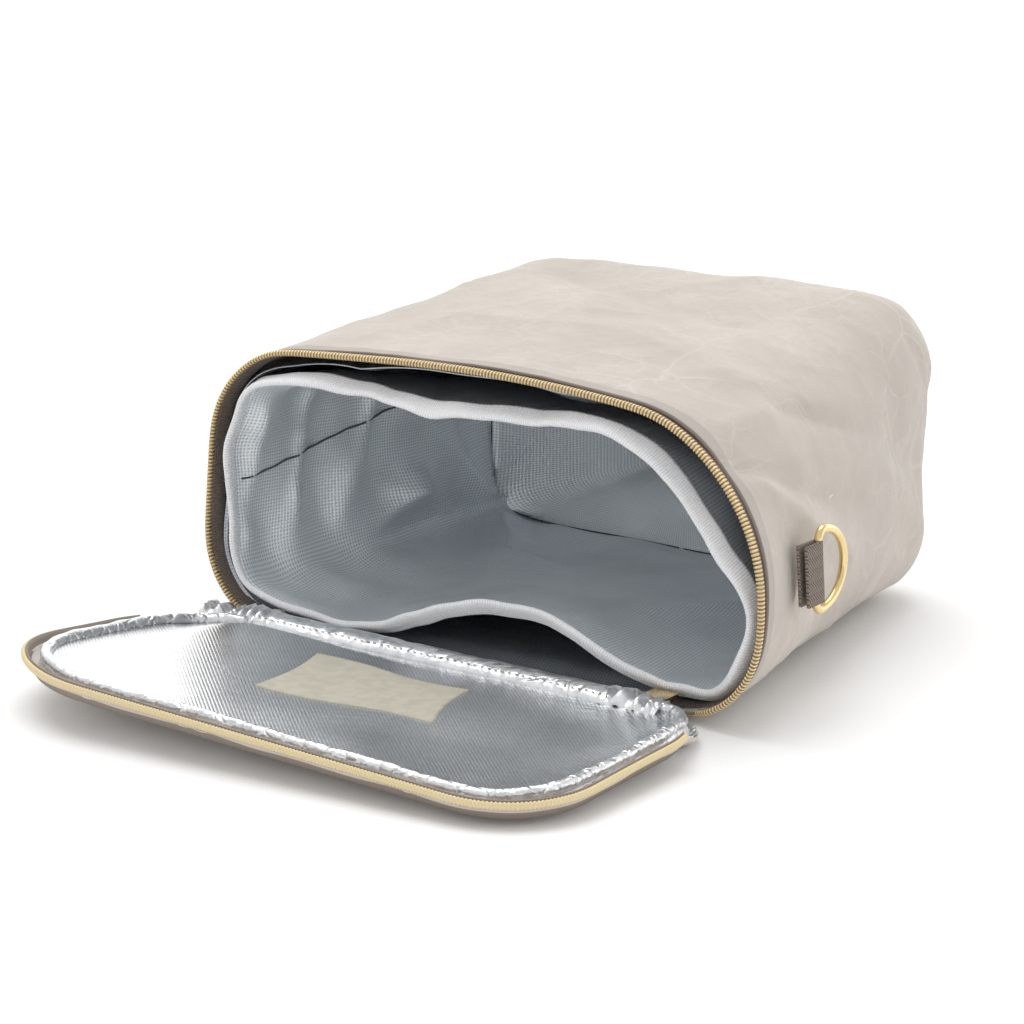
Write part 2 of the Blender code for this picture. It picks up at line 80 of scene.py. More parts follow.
FORWARD = np.array([0.0, -1.0, 0.0])
FROM_MOUTH = np.array([0.0, MOUTH_Y, 0.0])


# ---------------------------------------------------------------- settings


def length(name, text, default):
    return bpy.props.FloatProperty(
        name=name, description=text, default=default, unit="LENGTH", subtype="DISTANCE", precision=4
    )


def colour(name, text, default):
    return bpy.props.FloatVectorProperty(
        name=name, description=text, default=default, subtype="COLOR", size=3, min=0.0, max=1.0
    )


class CoolerCaseSettings(bpy.types.PropertyGroup):
    rim_high: length("Rim height", "Height of the mouth at its corners", 0.1003)
    rim_crown: length("Rim crown", "How much the mouth's top edge rises in its middle", 0.0093)
    rim_lean: length("Rim lean", "How far the mouth's top stands back from its lower edge", 0.0080)
    rim_twist: length("Rim twist", "How far the mouth's left end stands back from its right end", 0.0095)
    base_half: length("Base half width", "Half of the base's width", 0.0960)
    base_shift: length("Base shift", "How far the base sags to the left", -0.0084)
    base_edge: length("Base edge", "Radius between the walls and the base", 0.0300)
    thickness: length("Cloth", "Thickness of the outer cloth", 0.0010)
    hem: length("Hem", "Width of the hem beside the zip", 0.0062)
    linen: colour("Linen", "Colour of the outer cloth", (0.590, 0.535, 0.478))
    # the case's foil is set darker than the liner's and the lid's foil: painted shade for the lining, which
    # lies in the shadow of the mouth
    foil: colour("Foil", "Colour of the case's foil lining", (0.50, 0.53, 0.57))


class CoolerZipSettings(bpy.types.PropertyGroup):
    pitch: length("Pitch", "From one turn of the coil to the next", 0.00135)
    coil_width: length("Coil width", "Width of one side's coil", 0.0029)
    coil_height: length("Coil height", "Thickness of the coil", 0.0021)
    coil: colour("Coil", "Colour of the coil", (0.80, 0.62, 0.34))
    tape: colour("Tape", "Colour of the woven tape", (0.230, 0.185, 0.155))


class CoolerLinerSettings(bpy.types.PropertyGroup):
    depth: length("Depth", "From the mouth to the liner's base", 0.1580)
    base_left: length("Base left", "Left edge of the liner's base", -0.0960)
    base_right: length("Base right", "Right edge of the liner's base", 0.0840)
    base_high: length("Base height", "Top of the liner's base", 0.0860)
    base_low: length("Base low", "Bottom of the liner's base", 0.0108)
    binding: length("Binding", "Width of the binding tape", 0.0066)
    foil: colour("Foil", "Colour of the liner's foil", (0.88, 0.92, 0.96))
    tape: colour("Binding", "Colour of the binding tape", (0.95, 0.95, 0.97))


class CoolerLidSettings(bpy.types.PropertyGroup):
    back: length("Back", "The lid's back edge, from the mouth", -0.0084)
    depth: length("Depth", "From the lid's back edge to its front", 0.1264)
    height: length("Height", "Height of the zip at the hinge", 0.0175)
    front_drop: length("Front drop", "How much lower the zip is at the front", 0.0029)
    tilt: length("Tilt", "How much higher the zip is at the front left corner", 0.0066)
    piping: length("Piping", "Radius of the foil piping", 0.0021)
    foil: colour("Foil", "Colour of the lid's foil lining", (0.90, 0.92, 0.94))
    label: colour("Label", "Colour of the label", (0.50, 0.47, 0.385))


class CoolerRingSettings(bpy.types.PropertyGroup):
    wire: length("Wire", "Thickness of the ring's wire", 0.0030)
    gold: colour("Gold", "Colour of the ring and the slider", (0.90, 0.70, 0.36))
    webbing: colour("Webbing", "Colour of the ring's tab", (0.270, 0.215, 0.180))


class CoolerStageSettings(bpy.types.PropertyGroup):
    lens: bpy.props.FloatProperty(
        name="Lens", description="Focal length in millimetres", default=131.5
    )
    sky: bpy.props.FloatProperty(
        name="Sky", description="Brightness of the white surroundings", default=0.79
    )
    horizon: bpy.props.FloatProperty(
        name="Horizon", description="Extra brightness low down behind the bag", default=0.85
    )
    top: bpy.props.FloatProperty(
        name="Top light", description="Strength of the light overhead", default=1.48
    )


SETTINGS = {
    "cooler_case": CoolerCaseSettings,
    "cooler_zip": CoolerZipSettings,
    "cooler_liner": CoolerLinerSettings,
    "cooler_lid": CoolerLidSettings,
    "cooler_rings": CoolerRingSettings,
    "cooler_stage": CoolerStageSettings,
}


# ---------------------------------------------------------------- shader maths


class Shade:
    """A number that changes over a surface. Sums and products of it add Math nodes."""

    def __init__(self, finish, socket):
        self.finish = finish
        self.socket = socket

    def math(self, operation, *others):
        sockets = dict(enumerate((self, *others)))
        return self.finish.node("ShaderNodeMath", {"operation": operation}, sockets)

    def __add__(self, other):
        return self.math("ADD", other)

    __radd__ = __add__

    def __sub__(self, other):
        return self.math("SUBTRACT", other)

    def __rsub__(self, other):
        return self.finish.node("ShaderNodeMath", {"operation": "SUBTRACT"}, {0: other, 1: self})

    def __mul__(self, other):
        return self.math("MULTIPLY", other)

    __rmul__ = __mul__

    def __truediv__(self, other):
        return self.math("DIVIDE", other)

    def sine(self):
        return self.math("SINE")

    def absolute(self):
        return self.math("ABSOLUTE")

    def fraction(self):
        return self.math("FRACT")

    def within(self, low, high):
        """0 at low, 1 at high, smooth between and level beyond."""
        sockets = {"Value": self, "From Min": low, "From Max": high}
        return self.finish.node("ShaderNodeMapRange", {"interpolation_type": "SMOOTHSTEP"}, sockets)


class Nodes:
    """A node tree that nodes are added to."""

    def __init__(self, tree):
        self.tree = tree

    def node(self, kind, settings=None, sockets=None, out=0):
        made = self.tree.nodes.new(kind)
        for key, value in (settings or {}).items():
            setattr(made, key, value)
        for key, value in (sockets or {}).items():
            self.feed(made.inputs[key], value)
        return Shade(self, made.outputs[out])

    def feed(self, socket, value):
        if isinstance(value, Shade):
            self.tree.links.new(value.socket, socket)
        elif hasattr(socket.default_value, "__len__") and not hasattr(value, "__len__"):
            socket.default_value = [value] * len(socket.default_value)
        elif hasattr(value, "__len__") and len(value) == 3 and len(socket.default_value) == 4:
            socket.default_value = (*value, 1.0)
        else:
            socket.default_value = value


class Finish(Nodes):
    """A material and the nodes that make it."""

    def __init__(self, name):
        self.material = bpy.data.materials.new(name)
        self.material.use_nodes = True
        super().__init__(self.material.node_tree)
        self.shader = self.tree.nodes["Principled BSDF"]

    def set(self, **sockets):
        for key, value in sockets.items():
            self.feed(self.shader.inputs[key.replace("_", " ")], value)
        return self

    def place(self):
        return self.node("ShaderNodeTexCoord", out="Object")

    def metres(self):
        """(u, v) on the cloth, in metres."""
        flat = self.node("ShaderNodeUVMap", {"uv_map": CLOTH_MAP})
        parts = self.node("ShaderNodeSeparateXYZ", None, {0: flat})
        return parts, Shade(self, parts.socket.node.outputs[1])

    def noise(self, scale, detail=2.0, rough=0.5, stretch=None):
        where = self.place()
        if stretch:
            where = self.node("ShaderNodeVectorMath", {"operation": "MULTIPLY"}, {0: where, 1: stretch})
        sockets = {"Vector": where, "Scale": scale, "Detail": detail, "Roughness": rough}
        return self.node("ShaderNodeTexNoise", None, sockets)

    def cracks(self, scale, warp):
        """A net of straight creases: 0 on a crease, rising away from it."""
        where = self.place()
        bent = self.node("ShaderNodeTexNoise", None, {"Vector": where, "Scale": scale * 0.7}, out="Color")
        shift = self.node("ShaderNodeVectorMath", {"operation": "SCALE"}, {0: bent, "Scale": warp})
        moved = self.node("ShaderNodeVectorMath", {"operation": "ADD"}, {0: where, 1: shift})
        sockets = {"Vector": moved, "Scale": scale}
        return self.node("ShaderNodeTexVoronoi", {"feature": "DISTANCE_TO_EDGE"}, sockets)

    def mix(self, share, a, b):
        return self.node("ShaderNodeMix", {"data_type": "RGBA"}, {0: share, 6: a, 7: b}, out=2)

    def bump(self, height, distance):
        sockets = {"Height": height, "Distance": distance, "Strength": 1.0}
        return self.node("ShaderNodeBump", None, sockets)


def scaled(shade, factor):
    return tuple(min(1.0, c * factor) for c in shade)


def waves(run, pitch):
    """-1 to 1 and back over each pitch of a run in metres."""
    return (run * (TURN / pitch)).sine()


# painted brown shadow that the hem's fold casts on the zip tape
FOLD_SHADOW = (0.10, 0.065, 0.05)
# painted shade between the coil's turns
COIL_GROOVE_SHADE = (0.20, 0.13, 0.07)
SEAM_THREAD = (0.10, 0.105, 0.11)
STITCH_THREAD = (0.40, 0.40, 0.42)
PIPING_FOIL = (0.90, 0.91, 0.92)
HINGE_FOIL = (0.93, 0.94, 0.95)
FOIL_PITCH = 0.0024


def washed_linen(settings):
    """Waxed, washed cloth: a fine weave, clouds of wear and a net of pale creases."""
    made = Finish("washed_linen")
    u, v = made.metres()
    threads = waves(u, 0.00062) * waves(v, 0.00066)
    slub = made.noise(900.0, 1.0, stretch=(1.0, 0.12, 1.0))
    clouds = made.noise(16.0, 4.0, rough=0.6)
    fibres = made.noise(260.0, 3.0, rough=0.7)
    folds = made.cracks(26.0, 0.035)
    fine_folds = made.cracks(62.0, 0.018)
    crease = 1 - folds.within(0.0, 0.035)
    fine = (1 - fine_folds.within(0.0, 0.05)) * made.noise(22.0, 1.0).within(0.46, 0.62)
    patchy = made.noise(9.0, 1.0).within(0.42, 0.60)
    lines = crease * patchy * 0.55 + fine * 0.4
    base = made.mix(clouds.within(0.32, 0.68), scaled(settings.linen, 0.89), scaled(settings.linen, 1.05))
    base = made.mix(fibres.within(0.35, 0.7) * 0.45, base, scaled(settings.linen, 0.84))
    base = made.mix(threads.within(-0.8, 0.8) * 0.22, base, scaled(settings.linen, 0.80))
    base = made.mix(lines * 0.5, base, scaled(settings.linen, 1.17))
    # painted shade: the doubled hem beside the zip is painted a shade darker, its fold gets a painted brown
    # shadow where it overhangs the tape, and the line along the hem's edge gets a thin painted shade
    hem = 1 - v.within(settings.hem - 0.0004, settings.hem + 0.0002)
    fold = 1 - v.within(0.0009, 0.0016)
    groove = (v - settings.hem).absolute().within(0.0, 0.0005)
    base = made.mix(hem * 0.60, base, scaled(settings.linen, 0.66))
    base = made.mix(fold * 0.6, base, FOLD_SHADOW)
    base = made.mix((1 - groove) * 0.35, base, scaled(settings.linen, 0.5))
    rough = 0.74 + fibres * 0.12 - lines * 0.1
    facets = made.cracks(15.0, 0.06).within(0.0, 0.45) + made.cracks(33.0, 0.03).within(0.0, 0.4) * 0.35
    height = threads * 0.10 + slub * 0.22 + fibres * 0.25 + lines * 0.9 + groove * 0.5 + facets * 7.0
    made.set(Base_Color=base, Roughness=rough, Normal=made.bump(height, 0.00028))
    made.set(Specular_IOR_Level=0.28, Sheen_Weight=0.12, Sheen_Roughness=0.5)
    return made.material


def foil_cloth(name, tint, metal, rough, emboss, crush):
    """Foil on a woven scrim: rows of tiny raised diamonds with painted shade between them and painted
    highlights on them, soft creases and a satin shine.
    """
    made = Finish(name)
    u, v = made.metres()
    diamonds = waves(u + v, FOIL_PITCH) * waves(u - v, FOIL_PITCH)
    clouds = made.noise(24.0, 3.0)
    creases = made.cracks(34.0, 0.03).within(0.0, 0.03)
    shade = made.mix(clouds.within(0.3, 0.7), scaled(tint, 0.86), scaled(tint, 1.06))
    # painted shade in the hollows between the diamonds and painted highlights on their tops, besides the bump
    shade = made.mix(diamonds.within(-0.9, 0.1), scaled(tint, 0.58), shade)
    shade = made.mix(diamonds.within(0.55, 0.95) * 0.6, shade, scaled(tint, 1.5))
    height = diamonds * (0.40 * emboss) + creases * crush + made.noise(120.0, 3.0) * (0.6 * crush)
    made.set(Base_Color=shade, Roughness=clouds * 0.16 + rough, Normal=made.bump(height, 0.00020))
    made.set(Metallic=metal, Specular_IOR_Level=0.5)
    return made.material


def crumpled_foil(name, tint, size=150.0, depth=0.0006):
    """Bare foil tape, gathered by its stitches: bright and dark facets side by side, from its bumps and from
    painted shade that follows its ripples.
    """
    made = Finish(name)
    facets = made.cracks(size, 0.012)
    ripples = made.noise(size * 1.6, 4.0, rough=0.65)
    # painted shade: the colour darkens with the ripples, as the facets turned from the light would
    shade = made.mix(ripples.within(0.35, 0.65), scaled(tint, 0.80), tint)
    rough = 0.20 + ripples * 0.24
    height = facets.within(0.0, 0.20) * 0.55 + ripples * 0.8
    made.set(Base_Color=shade, Roughness=rough, Normal=made.bump(height, depth), Metallic=0.85)
    return made.material


def woven_tape(name, tint, rib=0.0009, contrast=0.35):
    """A narrow ribbed tape: ribs across it, with fine threads along them."""
    made = Finish(name)
    u, v = made.metres()
    ribs = waves(u, rib)
    threads = waves(v, rib * 0.7)
    fuzz = made.noise(700.0, 2.0)
    shade = made.mix(ribs.within(-0.8, 0.8), scaled(tint, 1 - contrast), tint)
    shade = made.mix(fuzz.within(0.3, 0.8) * 0.3, shade, scaled(tint, 1.12))
    height = ribs * 0.5 + threads * 0.2 + fuzz * 0.5
    made.set(Base_Color=shade, Roughness=0.80 + fuzz * 0.15, Normal=made.bump(height, 0.00016))
    made.set(Specular_IOR_Level=0.25, Sheen_Weight=0.15)
    return made.material


def herringbone(tint):
    """Strap webbing: two columns of slanted ribs that lean against each other."""
    made = Finish("taupe_webbing")
    u, v = made.metres()
    wide = 0.0044
    column = (u / wide).fraction()
    zigzag = (column - 0.5).absolute() * wide
    ribs = waves(v + zigzag * 1.1, 0.00145)
    edge = (column - 0.5).absolute().within(0.38, 0.5)
    fuzz = made.noise(650.0, 2.0)
    shade = made.mix(ribs.within(-0.9, 0.7), scaled(tint, 0.50), scaled(tint, 1.25))
    shade = made.mix(edge * 0.3, shade, scaled(tint, 0.55))
    height = ribs * 0.7 + fuzz * 0.4 - edge * 0.5
    made.set(Base_Color=shade, Roughness=0.78 + fuzz * 0.15, Normal=made.bump(height, 0.0003))
    made.set(Specular_IOR_Level=0.25, Sheen_Weight=0.1)
    return made.material


def nylon_coil(settings):
    """Metallised nylon: gold on the turns, with painted brown shade in the grooves between them."""
    made = Finish("gold_coil")
    u, _ = made.metres()
    turns = waves(u, settings.pitch)
    fuzz = made.noise(300.0, 2.0)
    # painted shade in the grooves between the turns
    shade = made.mix(turns.within(-0.75, 0.3), COIL_GROOVE_SHADE, settings.coil)
    shade = made.mix(fuzz.within(0.35, 0.7) * 0.35, shade, scaled(settings.coil, 0.75))
    made.set(Base_Color=shade, Roughness=0.30 + fuzz * 0.14, Metallic=0.55)
    made.set(Normal=made.bump(turns * 0.5 + fuzz * 0.1, 0.00015), Specular_IOR_Level=0.6)
    return made.material


def polished_gold(name, tint):
    """Plated metal with hairline wear and a faint ripple from casting."""
    made = Finish(name)
    swell = made.noise(90.0, 2.0)
    hair = made.noise(420.0, 3.0, stretch=(1.0, 1.0, 8.0))
    shade = made.mix(swell.within(0.35, 0.7), scaled(tint, 0.90), tint)
    made.set(Base_Color=shade, Metallic=1.0, Roughness=0.10 + hair * 0.14)
    made.set(Normal=made.bump(swell * 0.6 + hair * 0.1, 0.0001))
    return made.material


def label_weave(tint):
    """A smooth, finely woven label."""
    made = Finish("cream_label")
    u, v = made.metres()
    threads = waves(u, 0.0005) * waves(v, 0.0005)
    fuzz = made.noise(240.0, 3.0)
    shade = made.mix(fuzz.within(0.3, 0.7), scaled(tint, 0.92), scaled(tint, 1.05))
    made.set(Base_Color=shade, Roughness=0.72 + fuzz * 0.12)
    made.set(Normal=made.bump(threads * 0.2 + fuzz * 0.3, 0.00012), Specular_IOR_Level=0.3)
    return made.material


# ---------------------------------------------------------------- mesh helpers


def at(x, y, z):
    """A point whose y is counted from the mouth."""
    return (x, MOUTH_Y + y, z)


def smooth_step(t):
    t = np.clip(t, 0.0, 1.0)
    return t * t * (3 - 2 * t)


def ripple(points, scale, seed=0.0):
    """Smooth noise from -1 to 1 at each point."""
    shift = Vector((seed * 7.3, seed * 3.1, seed * 5.7))
    flat = np.asarray(points).reshape(-1, 3)
    found = [noise.noise(Vector(p) * scale + shift) for p in flat]
    return np.array(found).reshape(np.asarray(points).shape[:-1])


def ridges(points, scale, seed=0.0):
    """Noise that is 1 along thin winding lines and falls off on both sides."""
    return (1 - np.abs(ripple(points, scale, seed)) * 2.2).clip(0, 1) ** 3


def along(path):
    """Distance along a path at each point."""
    path = np.asarray(path)
    steps = np.linalg.norm(np.diff(path, axis=0), axis=1)
    return np.concatenate([[0.0], np.cumsum(steps)])


def spaced(path, count, closed=False):
    """The same path with evenly spaced points."""
    path = np.asarray(path, float)
    if closed:
        path = np.vstack([path, path[:1]])
    run = along(path)
    stops = np.linspace(0, run[-1], count, endpoint=not closed)
    return np.stack([np.interp(stops, run, path[:, i]) for i in range(path.shape[1])], axis=1)


def carried(count, path, *ways):
    """The path with evenly spaced points, and directions that belong to it at the same places."""
    run = along(path)
    stops = np.linspace(0, run[-1], count)
    return [np.stack([np.interp(stops, run, a[:, i]) for i in range(3)], axis=1) for a in (path, *ways)]


def crease(rows, towards, line, width, height):
    """Lifts the skin towards a side by a soft ridge along a line of points, in mm with y from the mouth."""
    points = np.array(line, float) * MM + FROM_MOUTH
    nearest = np.full(rows.shape[:2], 1e9)
    for a, b in zip(points[:-1], points[1:]):
        span = b - a
        share = np.clip(((rows - a) @ span) / (span @ span), 0, 1)
        gap = np.linalg.norm(rows - a - share[:, :, None] * span, axis=2)
        nearest = np.minimum(nearest, gap)
    lift = height * MM * np.exp(-np.sqrt(0.02 + (nearest / (width * MM)) ** 2) + 0.141)
    return rows + towards * lift[:, :, None]


def softened(path, passes, closed=True):
    """The path with its corners eased."""
    path = np.asarray(path, float).copy()
    for _ in range(passes):
        before = np.roll(path, 1, axis=0)
        after = np.roll(path, -1, axis=0)
        eased = 0.25 * before + 0.5 * path + 0.25 * after
        if not closed:
            eased[0] = path[0]
            eased[-1] = path[-1]
        path = eased
    return path


def curve_through(points, count):
    """A closed smooth curve through a few points, evenly spaced."""
    points = np.asarray(points, float)
    n = len(points)
    found = []
    for i in range(n):
        p0, p1, p2, p3 = (points[(i + k) % n] for k in (-1, 0, 1, 2))
        for t in np.linspace(0, 1, 24, endpoint=False):
            a = 2 * p1
            b = p2 - p0
            c = 2 * p0 - 5 * p1 + 4 * p2 - p3
            d = 3 * p1 - p0 - 3 * p2 + p3
            found.append(0.5 * (a + b * t + c * t * t + d * t**3))
    return spaced(found, count, closed=True)


def round_outline(left, right, low, high, radii, count=LOOP):
    """A rounded rectangle in (x, z) with its own radius at each corner, from the middle of its lower side."""
    corners = (
        (right, low, -1, 1, radii[0], -90),
        (right, high, -1, -1, radii[1], 0),
        (left, high, 1, -1, radii[2], 90),
        (left, low, 1, 1, radii[3], 180),
    )
    points = [((left + right) / 2, low)]
    for x, z, sx, sz, radius, start in corners:
        for turn in np.radians(np.linspace(start, start + 90, 13)):
            cx = x + sx * radius
            cz = z + sz * radius
            points.append((cx + radius * math.cos(turn), cz + radius * math.sin(turn)))
    return spaced(points, count, closed=True)


def make(name, points, faces, uvs, finish, smooth=True):
    mesh = bpy.data.meshes.new(name)
    corners = [tuple(p) for p in np.asarray(points, float)]
    mesh.from_pydata(corners, [], [tuple(map(int, f)) for f in faces])
    if uvs is not None:
        layer = mesh.uv_layers.new(name=CLOTH_MAP)
        layer.data.foreach_set("uv", np.asarray(uvs, np.float32).ravel())
    if smooth:
        mesh.shade_smooth()
    mesh.validate()
    mesh.update()
    mesh.materials.append(finish)
    made = bpy.data.objects.new(name, mesh)
    bpy.context.scene.collection.objects.link(made)
    return made


def grid(name, rows, finish, closed=False, flip=False, uv=None, cap=False, start=0.0):
    """A skin over rows of points. Its map is in metres: along a row, and from row to row."""
    rows = np.asarray(rows, float)
    high, wide = rows.shape[:2]
    ring = np.concatenate([rows, rows[:, :1]], axis=1) if closed else rows
    if uv is None:
        middle = ring[high // 3]
        u = np.broadcast_to(along(middle), ring.shape[:2])
        lengths = np.linalg.norm(np.diff(ring, axis=0), axis=2).mean(axis=1)
        v = np.broadcast_to(start + np.concatenate([[0.0], np.cumsum(lengths)])[:, None], ring.shape[:2])
        uv = np.stack([u, v], axis=2)
    columns = wide if closed else wide - 1
    r, c = np.meshgrid(np.arange(high - 1), np.arange(columns), indexing="ij")
    r, c = r.ravel(), c.ravel()
    corners = [(r, c), (r, c + 1), (r + 1, c + 1), (r + 1, c)]
    if flip:
        corners = corners[::-1]
    faces = np.stack([a * wide + b % wide for a, b in corners], axis=1).tolist()
    uvs = np.stack([uv[a, b] for a, b in corners], axis=1).reshape(-1, 2).tolist()
    points = rows.reshape(-1, 3).tolist()
    if cap:
        centre = rows[-1].mean(axis=0)
        points.append(tuple(centre))
        last = (high - 1) * wide
        tip = len(points) - 1
        step = float(np.linalg.norm(rows[-1] - centre, axis=1).mean())
        for i in range(wide):
            trio = [last + i, last + (i + 1) % wide, tip]
            marks = [uv[-1, i], uv[-1, i + 1], uv[-1, i] + np.array([0.0, step])]
            faces.append(trio[::-1] if flip else trio)
            uvs.extend(marks[::-1] if flip else marks)
    return make(name, points, faces, uvs, finish)


def thicken(obj, thickness, offset=-1.0):
    solid = obj.modifiers.new("thickness", "SOLIDIFY")
    solid.thickness = thickness
    solid.offset = offset
    solid.use_even_offset = False
    return obj


def baked(obj):
    """The object with its modifiers applied."""
    graph = bpy.context.evaluated_depsgraph_get()
    mesh = bpy.data.meshes.new_from_object(obj.evaluated_get(graph), depsgraph=graph)
    obj.modifiers.clear()
    obj.data = mesh
    return obj


def normals_of(rows, closed):
    """The direction square to a skin at each of its points."""
    rows = np.asarray(rows, float)
    if closed:
        across = np.roll(rows, -1, axis=1) - np.roll(rows, 1, axis=1)
    else:
        across = np.gradient(rows, axis=1)
    down = np.gradient(rows, axis=0)
    found = np.cross(across, down)
    return found / np.maximum(np.linalg.norm(found, axis=2, keepdims=True), 1e-9)


def turned(path, closed):
    """The direction of a path at each point."""
    if closed:
        found = np.roll(path, -1, axis=0) - np.roll(path, 1, axis=0)
    else:
        found = np.gradient(path, axis=0)
    return found / np.maximum(np.linalg.norm(found, axis=1, keepdims=True), 1e-9)


def swept(name, path, side, up, profile, finish, closed=False, swell=None):
    """A tube: a profile of (side, up) offsets carried along a path. swell scales it at each point."""
    path = np.asarray(path, float)
    profile = np.asarray(profile, float)
    swell = np.ones(len(path)) if swell is None else swell
    ring = np.vstack([profile, profile[:1]])
    offsets = side[:, None, :] * profile[None, :, :1] + up[:, None, :] * profile[None, :, 1:]
    rows = path[:, None, :] + offsets * swell[:, None, None]
    run = along(path)
    girth = along(ring)
    if closed:
        rows = np.concatenate([rows, rows[:1]])
        run = np.append(run, run[-1] + np.linalg.norm(path[0] - path[-1]))
    made = grid(name, rows, finish, closed=True, uv=weave_map(run, girth), flip=True)
    if not closed:
        mesh = made.data
        count = len(profile)
        total = len(mesh.vertices)
        caps = [list(range(count)), list(range(total - 1, total - count - 1, -1))]
        points = [v.co[:] for v in mesh.vertices]
        faces = [list(p.vertices) for p in mesh.polygons] + caps
        uvs = [d.uv[:] for d in mesh.uv_layers[CLOTH_MAP].data] + [(0.0, 0.0)] * (2 * count)
        bpy.data.objects.remove(made)
        made = make(name, points, faces, uvs, finish)
    return made


def ellipse(across, high, sides):
    angles = np.linspace(0, TURN, sides, endpoint=False)
    return np.stack([np.cos(angles) * across / 2, np.sin(angles) * high / 2], axis=1)


def weave_map(run, girth):
    """A map in metres from the places along two edges."""
    return np.stack(np.meshgrid(run, girth, indexing="ij"), axis=2)


def area_of(obj):
    return sum(p.area for p in obj.data.polygons)


def assign(piece, body, slot, *nodes):
    """Puts a piece on a body, or leaves it where it lies across the lid's fold, and hides the nodes it stands
    for. The material slot is not used.
    """
    if body == "fold":
        fold_with_lid(piece)
    else:
        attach(piece, body)
    if nodes:
        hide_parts(*nodes)


# ---------------------------------------------------------------- case


RIM_LOW = 0.0024
RIM_RADII = (0.034, 0.056, 0.031, 0.033)
BASE_RADIUS = 0.031
LEFT_RING = at(-0.116, 0.050, 0.050)
SIDES = ("base", "left", "right", "front", "back")


def rim_outline(settings, inset=0.0):
    """The zip's line round the mouth: (x, y, z) with y from the mouth."""
    outline = round_outline(
        -RIM_HALF + inset,
        RIM_HALF - inset,
        RIM_LOW + inset,
        settings.rim_high - inset,
        [max(0.004, r - inset) for r in RIM_RADII],
    )
    outline = softened(outline, 6)
    x, z = outline[:, 0], outline[:, 1]
    high = settings.rim_high
    rise = (z / (high / 2) - 1).clip(0, 1) ** 2
    z = z + settings.rim_crown * rise * np.cos(math.pi * x / (2 * RIM_HALF))
    y = settings.rim_lean * z / high - settings.rim_twist * x / (2 * RIM_HALF)
    return np.stack([x, y, z], axis=1)


def base_outline(settings, inset=0.0):
    left = settings.base_shift - settings.base_half + inset
    right = settings.base_shift + settings.base_half - inset
    radius = max(0.0015, BASE_RADIUS - inset)
    outline = round_outline(left, right, inset, BASE_HIGH - inset, [radius] * 4)
    outline = softened(outline, 4)
    return np.stack([outline[:, 0], np.full(LOOP, BODY_DEPTH), outline[:, 1]], axis=1)


def case_rows(settings, inset=0.0, start=0.0, steps=72):
    """Rows of the case at a depth under its cloth, from the mouth round the base's edge to its middle."""
    rim = rim_outline(settings, inset)
    base = base_outline(settings, inset)
    edge = settings.base_edge
    straight = BODY_DEPTH - edge
    rows = []
    for share in np.linspace(0, 1, steps):
        row = rim + (base - rim) * share
        row[:, 1] = rim[:, 1] * (1 - share) + straight * share + start * (1 - share)
        rows.append(row)
    radius = edge - inset
    for turn in np.radians(np.linspace(0, 90, 13)[1:]):
        ring = base_outline(settings, edge - radius * math.cos(turn))
        ring[:, 1] = straight + radius * math.sin(turn)
        rows.append(ring)
    centre = ring.mean(axis=0)
    rows += [centre + (ring - centre) * share for share in np.linspace(1, 0.03, 20)[1:]]
    return np.array(rows) + FROM_MOUTH


# lines of folds in mm, y from the mouth, each with its width and its height
CASE_FOLDS = (
    (((88, 20, 97), (94, 80, 104), (84, 150, 114), (72, 185, 116)), 6, 3.4),
    (((100, 14, 88), (106, 60, 70), (104, 100, 60)), 5, -3.6),
    (((104, 20, 80), (108, 46, 62), (104, 90, 40)), 4, 3.0),
    (((92, 60, 100), (100, 120, 78), (94, 165, 60)), 6, -3.4),
    (((99, 90, 92), (98, 140, 60), (92, 172, 30)), 4, 3.0),
    (((112, 40, 40), (106, 90, 22), (98, 140, 16)), 5, -3.2),
    (((112, 62, 60), (104, 120, 34), (94, 170, 14)), 4, 2.6),
    (((60, 30, 106), (30, 90, 113), (-20, 150, 117)), 7, -1.3),
    (((70, 60, 108), (10, 80, 112), (-60, 70, 110)), 5, 1.0),
    (((-70, 30, 106), (-40, 100, 114), (20, 180, 118)), 7, 1.0),
    (((40, 110, 114), (-30, 130, 116), (-80, 160, 112)), 5, -1.5),
    (((86, 168, 104), (88, 182, 80), (86, 186, 40)), 5, -3.2),
    (((84, 150, 112), (90, 178, 96), (86, 192, 70)), 4, 1.8),
    (((-110, 30, 60), (-106, 110, 50), (-98, 170, 70)), 7, 2.0),
    (((-100, 20, 90), (-104, 90, 80), (-100, 160, 40)), 5, -2.0),
    (((-60, 198, 20), (-10, 199, 60), (40, 198, 100)), 7, 1.6),
    (((-80, 198, 90), (-20, 199, 70), (60, 198, 30)), 6, -1.6),
)


def away_from_ring(rows, clear):
    """0 where the left ring rests on the case, growing to 1 past the clear distance."""
    return smooth_step((np.linalg.norm(rows - np.array(LEFT_RING), axis=2) - clear) / 0.018)


def crease_case(rows):
    """Soft hollows, fold lines and a slumped base edge, as in washed cloth over a thin foam."""
    outward = -normals_of(rows, closed=True)
    from_rim = rows[:, :, 1] - MOUTH_Y
    quiet = smooth_step(from_rim / 0.030)
    low = smooth_step(rows[:, :, 2] / 0.012)
    depth = 1.0 * ripple(rows, 15.0, 1) + 0.7 * ripple(rows, 34.0, 2)
    slanted = rows * np.array([1.0, 0.55, 0.9]) + rows[:, :, [1, 2, 0]] * 0.35
    depth = depth + 0.85 * ridges(slanted, 19.0, 3) - 0.7 * ridges(slanted, 13.0, 4)
    depth = depth + 0.35 * ridges(rows, 46.0, 5)
    depth = depth * quiet * (0.25 + 0.75 * low) * MM
    smooth = rows
    rows = rows + outward * depth[:, :, None]
    for line, width, height in CASE_FOLDS:
        rows = crease(rows, outward, line, width, height)
    # the cloth lies flat where the left ring rests on it
    far = away_from_ring(rows, 0.018)[:, :, None]
    flat = smooth - outward * 0.0046
    return flat * (1 - far) + rows * far


